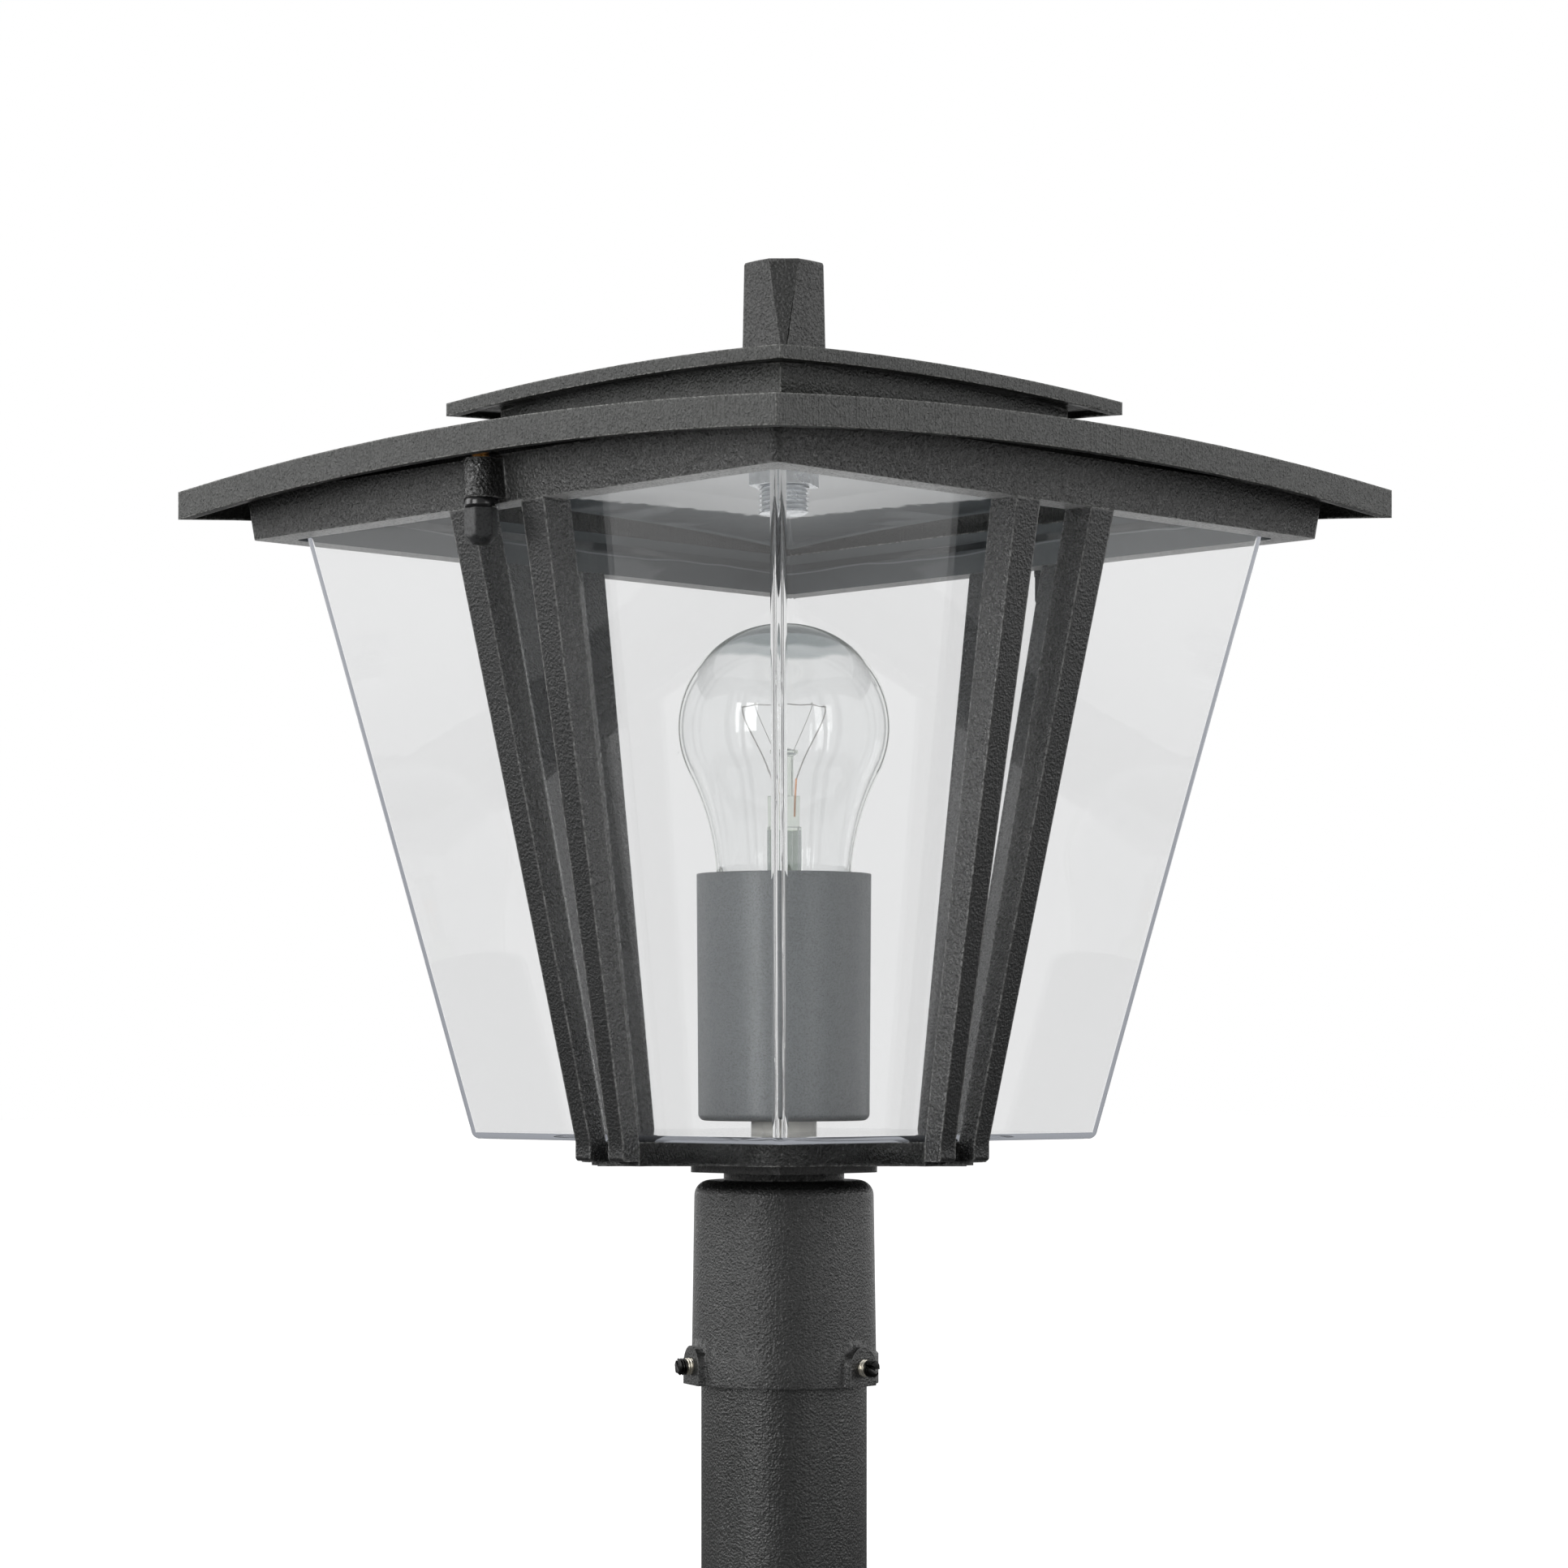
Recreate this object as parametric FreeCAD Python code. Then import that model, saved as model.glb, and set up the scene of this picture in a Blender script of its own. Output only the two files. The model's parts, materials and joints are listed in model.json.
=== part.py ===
import FreeCAD, Part
import math
import os

# Post top lantern, millimetres, +Z up. The origin is the centre of the post's lower end.
# The lantern is square: its four sides face -Y, +X, +Y and -X, and its corners lie on the
# diagonals. Sizes of the square parts are half sides, measured from the axis to a face.

# Post and the socket that grips it
POST_RADIUS = 24.0
POST_WALL = 2.0
POST_FREE = 60.0            # post below the socket's lower edge
SOCKET_GRIP = 52.0          # post inside the socket
SOCKET_FIT = 0.05           # radial running clearance on the post
SOCKET_WALL = 2.65
SOCKET_DRAFT = 0.75         # outer radius lost from the band up to the shoulder
SOCKET_CROWN = 6.6          # solid above the end of the post
SHOULDER_ROUND = 4.5
NECK_RADIUS = 17.5
NECK_HEIGHT = 2.2
FLANGE_HALF = 21.15
FLANGE_HEIGHT = 3.0
FLANGE_ROUND = 7.0
BAND_HEIGHT = 9.1
BAND_PROUD = 0.7

# Set screws round the socket
SCREW_COUNT = 3
SCREW_FIRST_ANGLE = 7.5     # degrees from +X, seen from above
SCREW_RADIUS = 2.45
SCREW_LENGTH = 8.6
SCREW_HEIGHT = 5.3          # axis above the socket's lower edge
SCREW_FIT = 0.06
SCREW_TIP_GAP = 0.3         # screws stand just off the post
SCREW_SLOT = 0.9
SCREW_SLOT_DEPTH = 1.4
SCREW_CHAMFER = 0.5
PAD_RADIUS = 6.0            # rounded pad round each screw
PAD_REACH = 28.9            # pad's flat face from the post's axis

# Base casting: body, four arms and a plate turned by 45 degrees
BODY_HALF = 45.0
BODY_HEIGHT = 6.7
BODY_ROUND = 12.0
PLATE_HALF = 51.2
PLATE_HEIGHT = 1.3

# Clear enclosure
ENCLOSURE_HALF = 64.6       # outer face at the foot
ENCLOSURE_TOP_HALF = 100.0  # outer face under the flange
ENCLOSURE_WALL = 2.2
ENCLOSURE_ROUND = 3.0       # vertical corners
ENCLOSURE_FOOT_ROUND = 2.6
ENCLOSURE_LIP = 3.7         # flange beyond the wall

# Stiles, two on each side
STILE_DEPTH = 6.05          # foot, from its inner face to its outer face
STILE_FOOT_INNER = 3.84     # edge next to the side's centre line
STILE_FOOT_WIDTH = 6.0
STILE_TOP_INNER = 10.36
STILE_TOP_WIDTH = 9.3
STILE_GAP = 1.2             # stile's inner face to the enclosure
FOOT_ROUND = 1.2

# Frame ring under the roof
RING_RISE = 173.7           # ring's lower face above the base casting
RING_HEIGHT = 12.8
RING_REACH = 9.4            # outer face beyond the enclosure's, at the lower edge
RING_LEAN = 1.5             # outward lean of the face up to the top
RING_CORNER = 2.5
RING_CLEARANCE = 0.6        # ring's opening to the enclosure
LEDGE_HEIGHT = 7.3          # flange's seat above the ring's lower face
LEDGE_CLEARANCE = 0.5       # rebate beyond the flange

# Bosses, studs and cap nuts that hold the roof
BOSS_RADIUS = 4.75
BOSS_REACH = 5.2            # boss's centre beyond the ring's outer face
BOSS_LIFT = 0.9             # boss's lower face above the ring's
BOSS_TOP_DROP = 1.2         # boss's upper face below the ring's
STUD_RADIUS = 2.5
STUD_FIT = 0.05
BOSS_HOLE_FIT = 0.25
WASHER_RADIUS = 4.7
WASHER_HEIGHT = 2.65
NUT_FLATS = 8.0
NUT_HEIGHT = 9.7
NUT_TAPER = 2.6
NUT_END_RADIUS = 2.35
NUT_BORE = 7.9
STUD_END_GAP = 0.5          # stud's end to the bottom of the nut's bore

# Main roof
ROOF_OVERHANG = 15.0        # rim beyond the ring
ROOF_LIFT = 6.0             # rim's corners above the ring's lower face
RIM_HEIGHT = 8.0
RIM_RISE = 5.6              # arch of each side above its corners
RIM_WALL = 2.5
ROOF_SKIN = 2.5
ROOF_FLAT_HALF = 60.0
ROOF_RISE = 18.8            # flat above the rim's corners
ROOF_FLAT_SKIN = 3.0
RIB_WIDTH = 3.3
ROOF_BOSS_GAP = 0.5         # roof's bosses above the ring

# Upper roof tier
NECK_HALF = 58.1
NECK_WALL = 2.5
TIER_HALF = 69.3
TIER_LIFT = 11.1            # rim's corners above the main roof's flat
TIER_RIM_HEIGHT = 3.7
TIER_RISE = 2.1
TIER_RIM_WALL = 2.5
TIER_SKIN = 2.2
TIER_FLAT_HALF = 12.0
TIER_HEIGHT = 11.9

# Finial and the threaded stem that clamps the roof together
FINIAL_HEIGHT = 31.7
FINIAL_FOOT_HALF = 8.75
FINIAL_TOP_HALF = 11.25
FINIAL_FOOT_CHAMFER = 0.3
FINIAL_TOP_CHAMFER = 6.33
FINIAL_CREASE = 0.3         # ridge up the middle of each face
STEM_RADIUS = 6.58
STEM_FIT = 0.1
STEM_IN_FINIAL = 14.0
STEM_DROP = 14.5            # stem's length under the ceiling
STEM_WASHER_RADIUS = 10.0
STEM_WASHER_HEIGHT = 1.5
STEM_NUT_FLATS = 17.0
STEM_NUT_HEIGHT = 5.0

# Lamp holder
NIPPLE_RADIUS = 5.0
NIPPLE_BORE = 3.8
NIPPLE_IN_HOLDER = 14.0
NIPPLE_FIT = 0.1
LOCKNUT_FLATS = 14.0
LOCKNUT_HEIGHT = 4.0
LOCKNUT_RECESS = 9.5
LOCKNUT_LIFT = 0.6          # locknut above the end of the post
HOLDER_FOOT_RADIUS = 8.8
SLEEVE_LIFT = 3.3           # sleeve's lower edge above the enclosure's floor
SLEEVE_HEIGHT = 71.3
SLEEVE_RADIUS = 24.1
SLEEVE_FLARE = 0.5
SLEEVE_WALL = 1.5
SLEEVE_ROUND = 2.0
SLEEVE_FIT = 0.3
HOLDER_RADIUS = 21.8
HOLDER_BLOCK_HEIGHT = 30.0
CUP_WALL = 3.2
CUP_FLOOR_DROP = 7.0        # cup's floor below the lamp's tip
CUP_RIM_DROP = 1.0          # cup's rim below the lamp cap's rim
SHELL_WALL = 0.5
SHELL_HEIGHT = 19.0
SHELL_FIT = 0.35            # lamp cap in the contact shell
SHELL_SEAT = 0.1            # contact shell in the cup
CONTACT_RADIUS = 4.0
CONTACT_HEIGHT = 0.8
CONTACT_GAP = 0.3
TERMINAL_SIZE = 6.0
TERMINAL_REACH = 14.5
TERMINAL_FIT = 0.15

# Lamp
CAP_SINK = 7.4              # cap's rim below the sleeve's upper edge
LAMP_LENGTH = 105.0
GLOBE_RADIUS = 30.0
GLOBE_WALL = 0.7
LAMP_NECK_RADIUS = 18.9     # where the glass starts to draw in to the cap
LAMP_NECK_HEIGHT = 33.1     # above the tip
FLANK_ANGLE = -26.0         # where the flank leaves the globe
FLANK_HOLLOW = 1.6          # how far the flank bows in below the globe
CAP_RADIUS = 13.1
CAP_WALL = 0.4
CAP_LENGTH = 25.0
CAP_TIP_RADIUS = 4.8
CAP_TIP_HEIGHT = 1.2
CAP_CONE_HEIGHT = 2.6
CAP_CONE_RADIUS = 10.6
CAP_CEMENT = 0.1            # glass in the cap
GLASS_IN_CAP = 8.3          # length of the glass inside the cap
FLARE_GAP = 0.2             # stem's flare to the inside of the glass
FLARE_HEIGHT = 8.0
STEM_TUBE_RADIUS = 4.4
STEM_TUBE_BORE = 3.4
STEM_TUBE_RISE = 21.1       # above the cap's rim
PRESS_WIDTH = 7.8
PRESS_DEPTH = 3.6
PRESS_HEIGHT = 9.0
GLASS_ROD_RADIUS = 2.1
GLASS_ROD_HEIGHT = 11.5
BUTTON_RADIUS = 3.4
BUTTON_HEIGHT = 2.6
FILAMENT_RISE = 25.7        # above the press
FILAMENT_RING = 11.5
FILAMENT_RADIUS = 0.3
WIRE_RADIUS = 0.4
LEAD_FOOT_SPREAD = 2.8      # lead wires at the press, from the axis
LEAD_KNEE_SPREAD = 7.6      # where they bend, from the axis
LEAD_KNEE_SHARE = 0.46      # of the way up to the filament
LEAD_ANGLE = 45.0           # direction of the lead wires' plane
SUPPORT_ANGLES = (-85.0, -45.0, -5.0)

# Levels and reaches that follow from the sizes above
SOCKET_BASE = POST_FREE
POST_TOP = POST_FREE + SOCKET_GRIP
SHOULDER = POST_TOP + SOCKET_CROWN
FLANGE_BASE = SHOULDER + NECK_HEIGHT
BODY_BASE = FLANGE_BASE + FLANGE_HEIGHT
PLATE_TOP = BODY_BASE + PLATE_HEIGHT
BODY_TOP = BODY_BASE + BODY_HEIGHT
FLOOR_TOP = BODY_TOP + ENCLOSURE_WALL
RING_HALF = ENCLOSURE_TOP_HALF + RING_REACH
RING_BASE = BODY_TOP + RING_RISE
RING_TOP = RING_BASE + RING_HEIGHT
LEDGE = RING_BASE + LEDGE_HEIGHT
LIP_TOP = LEDGE + ENCLOSURE_WALL
BOSS_CENTRE = RING_HALF + BOSS_REACH
BOSS_BASE = RING_BASE + BOSS_LIFT
BOSS_TOP = RING_TOP - BOSS_TOP_DROP
ROOF_HALF = RING_HALF + ROOF_OVERHANG
ROOF_BASE = RING_BASE + ROOF_LIFT
ROOF_FLAT_HEIGHT = ROOF_BASE + ROOF_RISE
CEILING = ROOF_FLAT_HEIGHT - ROOF_FLAT_SKIN
TIER_BASE = ROOF_FLAT_HEIGHT + TIER_LIFT
TIER_TOP = TIER_BASE + TIER_HEIGHT
STEM_END = CEILING - STEM_DROP
SLEEVE_BASE = FLOOR_TOP + SLEEVE_LIFT
SLEEVE_TOP = SLEEVE_BASE + SLEEVE_HEIGHT
HOLDER_BASE = SLEEVE_BASE + SLEEVE_WALL
CAP_RIM = SLEEVE_TOP - CAP_SINK
LAMP_TIP = CAP_RIM - CAP_LENGTH
GLOBE_CENTRE = LAMP_TIP + LAMP_LENGTH - GLOBE_RADIUS
STEM_TUBE_TOP = CAP_RIM + STEM_TUBE_RISE
PRESS_TOP = STEM_TUBE_TOP + PRESS_HEIGHT
FILAMENT_HEIGHT = PRESS_TOP + FILAMENT_RISE

Z = FreeCAD.Vector(0, 0, 1)
ORIGIN = FreeCAD.Vector(0, 0, 0)


def vec(x, y, z=0.0):
    return FreeCAD.Vector(x, y, z)


def cylinder(radius, low, high):
    return Part.makeCylinder(radius, high - low, vec(0, 0, low))


def tube(outer, inner, low, high):
    return cylinder(outer, low, high).cut(cylinder(inner, low, high))


def turned(outline):
    """A solid of revolution about Z from an outline of (radius, height) points."""
    points = [vec(radius, 0, height) for radius, height in outline]
    wire = Part.makePolygon(points + points[:1])
    return Part.Face(wire).revolve(ORIGIN, Z, 360)


def spun(shape, degrees):
    return shape.rotated(ORIGIN, Z, degrees)


def hexagon(flats, low, high):
    """A hexagonal prism about Z, with the given distance across its flats."""
    reach = flats / math.sqrt(3)
    points = [vec(reach * math.cos(math.radians(60 * k)), reach * math.sin(math.radians(60 * k)), low)
              for k in range(7)]
    return Part.Face(Part.makePolygon(points)).extrude(vec(0, 0, high - low))


def rounded_square(half, radius, height):
    """A square wire with round corners, centred on the axis."""
    edges = []
    straight = half - radius
    bulge = straight + radius * math.sqrt(0.5)
    for quarter in range(4):
        side = Part.LineSegment(vec(-straight, -half, height), vec(straight, -half, height)).toShape()
        corner = Part.Arc(vec(straight, -half, height), vec(bulge, -bulge, height),
                          vec(half, -straight, height)).toShape()
        edges.append(spun(side, 90 * quarter))
        edges.append(spun(corner, 90 * quarter))
    return Part.Wire(edges)


def square_block(half, radius, low, high):
    return Part.Face(rounded_square(half, radius, low)).extrude(vec(0, 0, high - low))


def arched_ring(half, height, rise):
    """The four sides of a square, each an arc that stands rise above its two corners."""
    start = vec(-half, -half, height)
    end = vec(half, -half, height)
    if rise > 0:
        side = Part.Arc(start, vec(0, -half, height + rise), end).toShape()
    else:
        side = Part.LineSegment(start, end).toShape()
    return [spun(side, 90 * quarter) for quarter in range(4)]


def arched_shell(profile):
    """A closed square solid through (half side, corner height, rise) rings.

    The first and the last ring are flat, and are closed by plane faces."""
    rings = [arched_ring(half, height, rise) for half, height, rise in profile]
    faces = []
    for below, above in zip(rings, rings[1:]):
        for one, other in zip(below, above):
            faces.append(Part.makeRuledSurface(one, other))
    faces.append(Part.Face(Part.Wire(rings[0])))
    faces.append(Part.Face(Part.Wire(rings[-1])))
    shell = Part.makeShell(faces)
    shell.sewShape()
    solid = Part.makeSolid(shell)
    if solid.Volume < 0:
        solid.reverse()
    return solid


def enclosure_half(height):
    """Half side of the enclosure's outer face at a height."""
    share = (height - BODY_TOP) / (LEDGE - BODY_TOP)
    return ENCLOSURE_HALF + share * (ENCLOSURE_TOP_HALF - ENCLOSURE_HALF)


def post_tube():
    return tube(POST_RADIUS, POST_RADIUS - POST_WALL, 0, POST_TOP)


def screw_angles():
    return [SCREW_FIRST_ANGLE + 360 * k / SCREW_COUNT for k in range(SCREW_COUNT)]


def along_x(radius, start, end, height):
    """A cylinder along +X at a height."""
    return Part.makeCylinder(radius, end - start, vec(start, 0, height), vec(1, 0, 0))


def screw_pad():
    """A pad on the band with a round top, towards +X."""
    height = SOCKET_BASE + SCREW_HEIGHT
    pad = along_x(PAD_RADIUS, POST_RADIUS, PAD_REACH, height)
    block = Part.makeBox(PAD_REACH - POST_RADIUS, 2 * PAD_RADIUS, SCREW_HEIGHT,
                         vec(POST_RADIUS, -PAD_RADIUS, SOCKET_BASE))
    above = Part.makeBox(PAD_REACH, 2 * PAD_RADIUS, 2 * PAD_RADIUS, vec(0, -PAD_RADIUS, SOCKET_BASE))
    return pad.common(above).fuse(block)


def post_socket():
    """Cup over the post's end, with its band, pads, neck and square flange."""
    bore = POST_RADIUS + SOCKET_FIT
    outer = bore + SOCKET_WALL
    cup = turned([(0, SOCKET_BASE), (outer, SOCKET_BASE), (outer, SOCKET_BASE + BAND_HEIGHT),
                  (outer - SOCKET_DRAFT, SHOULDER), (0, SHOULDER)])
    rim = [edge for edge in cup.Edges if edge.BoundBox.ZMin > SHOULDER - 0.01]
    cup = cup.makeFillet(SHOULDER_ROUND, [edge for edge in rim if edge.BoundBox.XLength > outer])
    band = turned([(0, SOCKET_BASE), (outer + BAND_PROUD, SOCKET_BASE),
                   (outer + BAND_PROUD, SOCKET_BASE + BAND_HEIGHT - BAND_PROUD),
                   (outer, SOCKET_BASE + BAND_HEIGHT), (0, SOCKET_BASE + BAND_HEIGHT)])
    socket = cup.fuse(band)
    for angle in screw_angles():
        socket = socket.fuse(spun(screw_pad(), angle))
    socket = socket.fuse(cylinder(NECK_RADIUS, SHOULDER, FLANGE_BASE))
    socket = socket.fuse(square_block(FLANGE_HALF, FLANGE_ROUND, FLANGE_BASE, BODY_BASE))
    socket = socket.cut(cylinder(bore, SOCKET_BASE, POST_TOP))
    for angle in screw_angles():
        hole = along_x(SCREW_RADIUS + SCREW_FIT, 0, 2 * PAD_REACH, SOCKET_BASE + SCREW_HEIGHT)
        socket = socket.cut(spun(hole, angle))
    socket = socket.cut(cylinder(LOCKNUT_RECESS, POST_TOP, locknut_top()))
    return socket.cut(cylinder(NIPPLE_RADIUS + NIPPLE_FIT, POST_TOP, BODY_BASE)).removeSplitter()


def set_screw(angle):
    """Grub screw with a slot across its outer end."""
    start = POST_RADIUS + SCREW_TIP_GAP
    height = SOCKET_BASE + SCREW_HEIGHT
    end = start + SCREW_LENGTH
    screw = along_x(SCREW_RADIUS, start, end, height)
    rims = [edge for edge in screw.Edges if edge.Curve.TypeId == "Part::GeomCircle"]
    screw = screw.makeChamfer(SCREW_CHAMFER, rims)
    slot = Part.makeBox(SCREW_SLOT_DEPTH, 4 * SCREW_RADIUS, SCREW_SLOT,
                        vec(end - SCREW_SLOT_DEPTH, -2 * SCREW_RADIUS, height - SCREW_SLOT / 2))
    return spun(screw.cut(slot), angle)


def arm_reach():
    """The arms end at the inner faces of the stiles' feet."""
    return enclosure_half(BODY_TOP) + STILE_GAP


def base_casting():
    """Body, cross arms up to the stiles' feet, and the turned plate that the feet stand on."""
    reach = arm_reach()
    width = 2 * (STILE_FOOT_INNER + STILE_FOOT_WIDTH)
    base = square_block(BODY_HALF, BODY_ROUND, BODY_BASE, BODY_TOP)
    base = base.fuse(Part.makeBox(2 * reach, width, BODY_HEIGHT, vec(-reach, -width / 2, BODY_BASE)))
    base = base.fuse(Part.makeBox(width, 2 * reach, BODY_HEIGHT, vec(-width / 2, -reach, BODY_BASE)))
    plate = Part.makeBox(2 * PLATE_HALF, 2 * PLATE_HALF, PLATE_HEIGHT,
                         vec(-PLATE_HALF, -PLATE_HALF, BODY_BASE))
    base = base.fuse(spun(plate, 45))
    return base.cut(cylinder(NIPPLE_RADIUS + NIPPLE_FIT, BODY_BASE, BODY_TOP)).removeSplitter()


def enclosure():
    """Clear tapered box, open at the top, with a flange that hangs in the ring."""
    outer = Part.makeLoft([rounded_square(enclosure_half(BODY_TOP), ENCLOSURE_ROUND, BODY_TOP),
                           rounded_square(enclosure_half(LIP_TOP), ENCLOSURE_ROUND, LIP_TOP)], True, True)
    foot = [edge for edge in outer.Edges if edge.BoundBox.ZMax < BODY_TOP + 0.01]
    outer = outer.makeFillet(ENCLOSURE_FOOT_ROUND, foot)
    inner_round = ENCLOSURE_ROUND - ENCLOSURE_WALL
    floor_half = enclosure_half(FLOOR_TOP) - ENCLOSURE_WALL
    mouth_half = enclosure_half(LIP_TOP) - ENCLOSURE_WALL
    inner = Part.makeLoft([rounded_square(floor_half, inner_round, FLOOR_TOP),
                           rounded_square(mouth_half, inner_round, LIP_TOP)], True, True)
    lip = square_block(ENCLOSURE_TOP_HALF + ENCLOSURE_LIP, ENCLOSURE_ROUND, LEDGE, LIP_TOP)
    box = outer.fuse(lip).cut(inner)
    return box.cut(cylinder(NIPPLE_RADIUS + NIPPLE_FIT, BODY_TOP, FLOOR_TOP))


def section(inner, outer, near, far, height):
    """A rectangle on the -Y side, between two distances across and two from the axis."""
    return Part.makePolygon([vec(inner, -far, height), vec(outer, -far, height), vec(outer, -near, height),
                             vec(inner, -near, height), vec(inner, -far, height)])


def stile():
    """One stile on the -Y side, right of its centre line, with its upright foot."""
    foot_outer = STILE_FOOT_INNER + STILE_FOOT_WIDTH
    foot_near = arm_reach()
    foot_far = foot_near + STILE_DEPTH
    low = section(STILE_FOOT_INNER, foot_outer, foot_near, foot_far, BODY_TOP)
    high = section(STILE_TOP_INNER, STILE_TOP_INNER + STILE_TOP_WIDTH,
                   enclosure_half(RING_BASE) + STILE_GAP, RING_HALF, RING_BASE)
    shaft = Part.makeLoft([low, high], True, True)
    foot = Part.makeBox(STILE_FOOT_WIDTH, STILE_DEPTH, BODY_TOP - PLATE_TOP,
                        vec(STILE_FOOT_INNER, -foot_far, PLATE_TOP))
    toe = [edge for edge in foot.Edges
           if edge.BoundBox.ZMax < PLATE_TOP + 0.01 and edge.BoundBox.YMax < 0.01 - foot_far]
    return foot.makeFillet(FOOT_ROUND, toe).fuse(shaft).removeSplitter()


def stiles():
    """Eight stiles, named by their side and by left or right seen from outside."""
    right = stile()
    left = right.mirror(ORIGIN, vec(1, 0, 0))
    named = {}
    for quarter, side in enumerate(("front", "right", "back", "left")):
        named["stile_" + side + "_a"] = spun(left, 90 * quarter)
        named["stile_" + side + "_b"] = spun(right, 90 * quarter)
    return named


def stud_places():
    return {"front": vec(0, -BOSS_CENTRE, 0), "back": vec(0, BOSS_CENTRE, 0)}


def frame_ring():
    """Leaning square ring with a ledge for the enclosure and a boss at the front and back."""
    ring = Part.makeLoft([rounded_square(RING_HALF, RING_CORNER, RING_BASE),
                          rounded_square(RING_HALF + RING_LEAN, RING_CORNER, RING_TOP)], True, True)
    for place in stud_places().values():
        boss = cylinder(BOSS_RADIUS, BOSS_BASE, BOSS_TOP).translated(place)
        web = Part.makeBox(2 * BOSS_RADIUS, BOSS_CENTRE - ENCLOSURE_TOP_HALF - ENCLOSURE_LIP,
                           BOSS_TOP - BOSS_BASE, vec(-BOSS_RADIUS, -BOSS_CENTRE, BOSS_BASE))
        ring = ring.fuse(boss)
        ring = ring.fuse(spun(web, 0 if place.y < 0 else 180))
    ring = ring.cut(square_block(ring_opening(), ENCLOSURE_ROUND, RING_BASE, RING_TOP))
    rebate = ENCLOSURE_TOP_HALF + ENCLOSURE_LIP + LEDGE_CLEARANCE
    ring = ring.cut(square_block(rebate, ENCLOSURE_ROUND, LEDGE, RING_TOP))
    for place in stud_places().values():
        hole = cylinder(STUD_RADIUS + BOSS_HOLE_FIT, BOSS_BASE, BOSS_TOP).translated(place)
        ring = ring.cut(hole)
    return ring.removeSplitter()


def ring_opening():
    return ENCLOSURE_TOP_HALF + RING_CLEARANCE


def rib_outer():
    return ENCLOSURE_TOP_HALF + ENCLOSURE_LIP


def roof_gasket():
    """Square rubber seal on the enclosure's flange, under the roof's rib."""
    outer = square_block(rib_outer(), ENCLOSURE_ROUND, LIP_TOP, RING_TOP)
    inner = square_block(rib_outer() - RIB_WIDTH, ENCLOSURE_ROUND, LIP_TOP, RING_TOP)
    return outer.cut(inner)


def nut_washer(place):
    low = BOSS_BASE - WASHER_HEIGHT
    return tube(WASHER_RADIUS, STUD_RADIUS + STUD_FIT, low, BOSS_BASE).translated(place)


def nut_top():
    return BOSS_BASE - WASHER_HEIGHT


def cap_nut(place):
    """Hexagonal cap nut under a boss, with a tapered closed end."""
    top = nut_top()
    end = top - NUT_HEIGHT
    reach = NUT_FLATS / math.sqrt(3)
    envelope = turned([(0, end), (NUT_END_RADIUS, end), (reach, end + NUT_TAPER), (reach, top), (0, top)])
    nut = hexagon(NUT_FLATS, end, top).common(envelope)
    return nut.cut(cylinder(STUD_RADIUS + STUD_FIT, top - NUT_BORE, top)).translated(place)


def stud_end():
    return nut_top() - NUT_BORE + STUD_END_GAP


def stud_root():
    """Upper end of a stud, inside the roof's boss."""
    return roof_underside(BOSS_CENTRE) + ROOF_SKIN / 2 - STUD_FIT


def roof_studs():
    studs = [cylinder(STUD_RADIUS, stud_end(), stud_root()).translated(place)
             for place in stud_places().values()]
    return Part.makeCompound(studs)


def roof_inner():
    return ROOF_HALF - RIM_WALL


def roof_slope(half):
    """Share of the way from the rim's inner face to the flat, along the underside."""
    flat = ROOF_FLAT_HALF - ROOF_SKIN
    return (roof_inner() - half) / (roof_inner() - flat)


def roof_underside(half):
    """Height of the underside at the middle of a side."""
    rim = ROOF_BASE + RIM_HEIGHT - ROOF_SKIN + RIM_RISE
    return rim + roof_slope(half) * (CEILING - rim)


def underside_ring(half):
    """A ring of the roof's underside: it flattens from the arched rim to the level flat."""
    rim = ROOF_BASE + RIM_HEIGHT - ROOF_SKIN
    level = rim + roof_slope(half) * (CEILING - rim)
    return (half, level, RIM_RISE * (1 - roof_slope(half)))


def main_roof():
    """Low roof with arched rims, a rib that sits on the seal, and two stud bosses."""
    rib_inner = rib_outer() - RIB_WIDTH
    roof = arched_shell([(ROOF_FLAT_HALF - ROOF_SKIN, CEILING, 0),
                         underside_ring(rib_inner),
                         (rib_inner, RING_TOP, 0),
                         (rib_outer(), RING_TOP, 0),
                         underside_ring(rib_outer()),
                         (roof_inner(), ROOF_BASE + RIM_HEIGHT - ROOF_SKIN, RIM_RISE),
                         (roof_inner(), ROOF_BASE, RIM_RISE),
                         (ROOF_HALF, ROOF_BASE, RIM_RISE),
                         (ROOF_HALF, ROOF_BASE + RIM_HEIGHT, RIM_RISE),
                         (ROOF_FLAT_HALF, ROOF_FLAT_HEIGHT, 0)])
    boss_low = RING_TOP + ROOF_BOSS_GAP
    boss_high = roof_underside(BOSS_CENTRE) + ROOF_SKIN / 2
    for place in stud_places().values():
        roof = roof.fuse(cylinder(BOSS_RADIUS, boss_low, boss_high).translated(place))
        roof = roof.cut(cylinder(STUD_RADIUS + STUD_FIT, boss_low, boss_high).translated(place))
    return roof.cut(cylinder(STEM_RADIUS + STEM_FIT, CEILING, ROOF_FLAT_HEIGHT))


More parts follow.
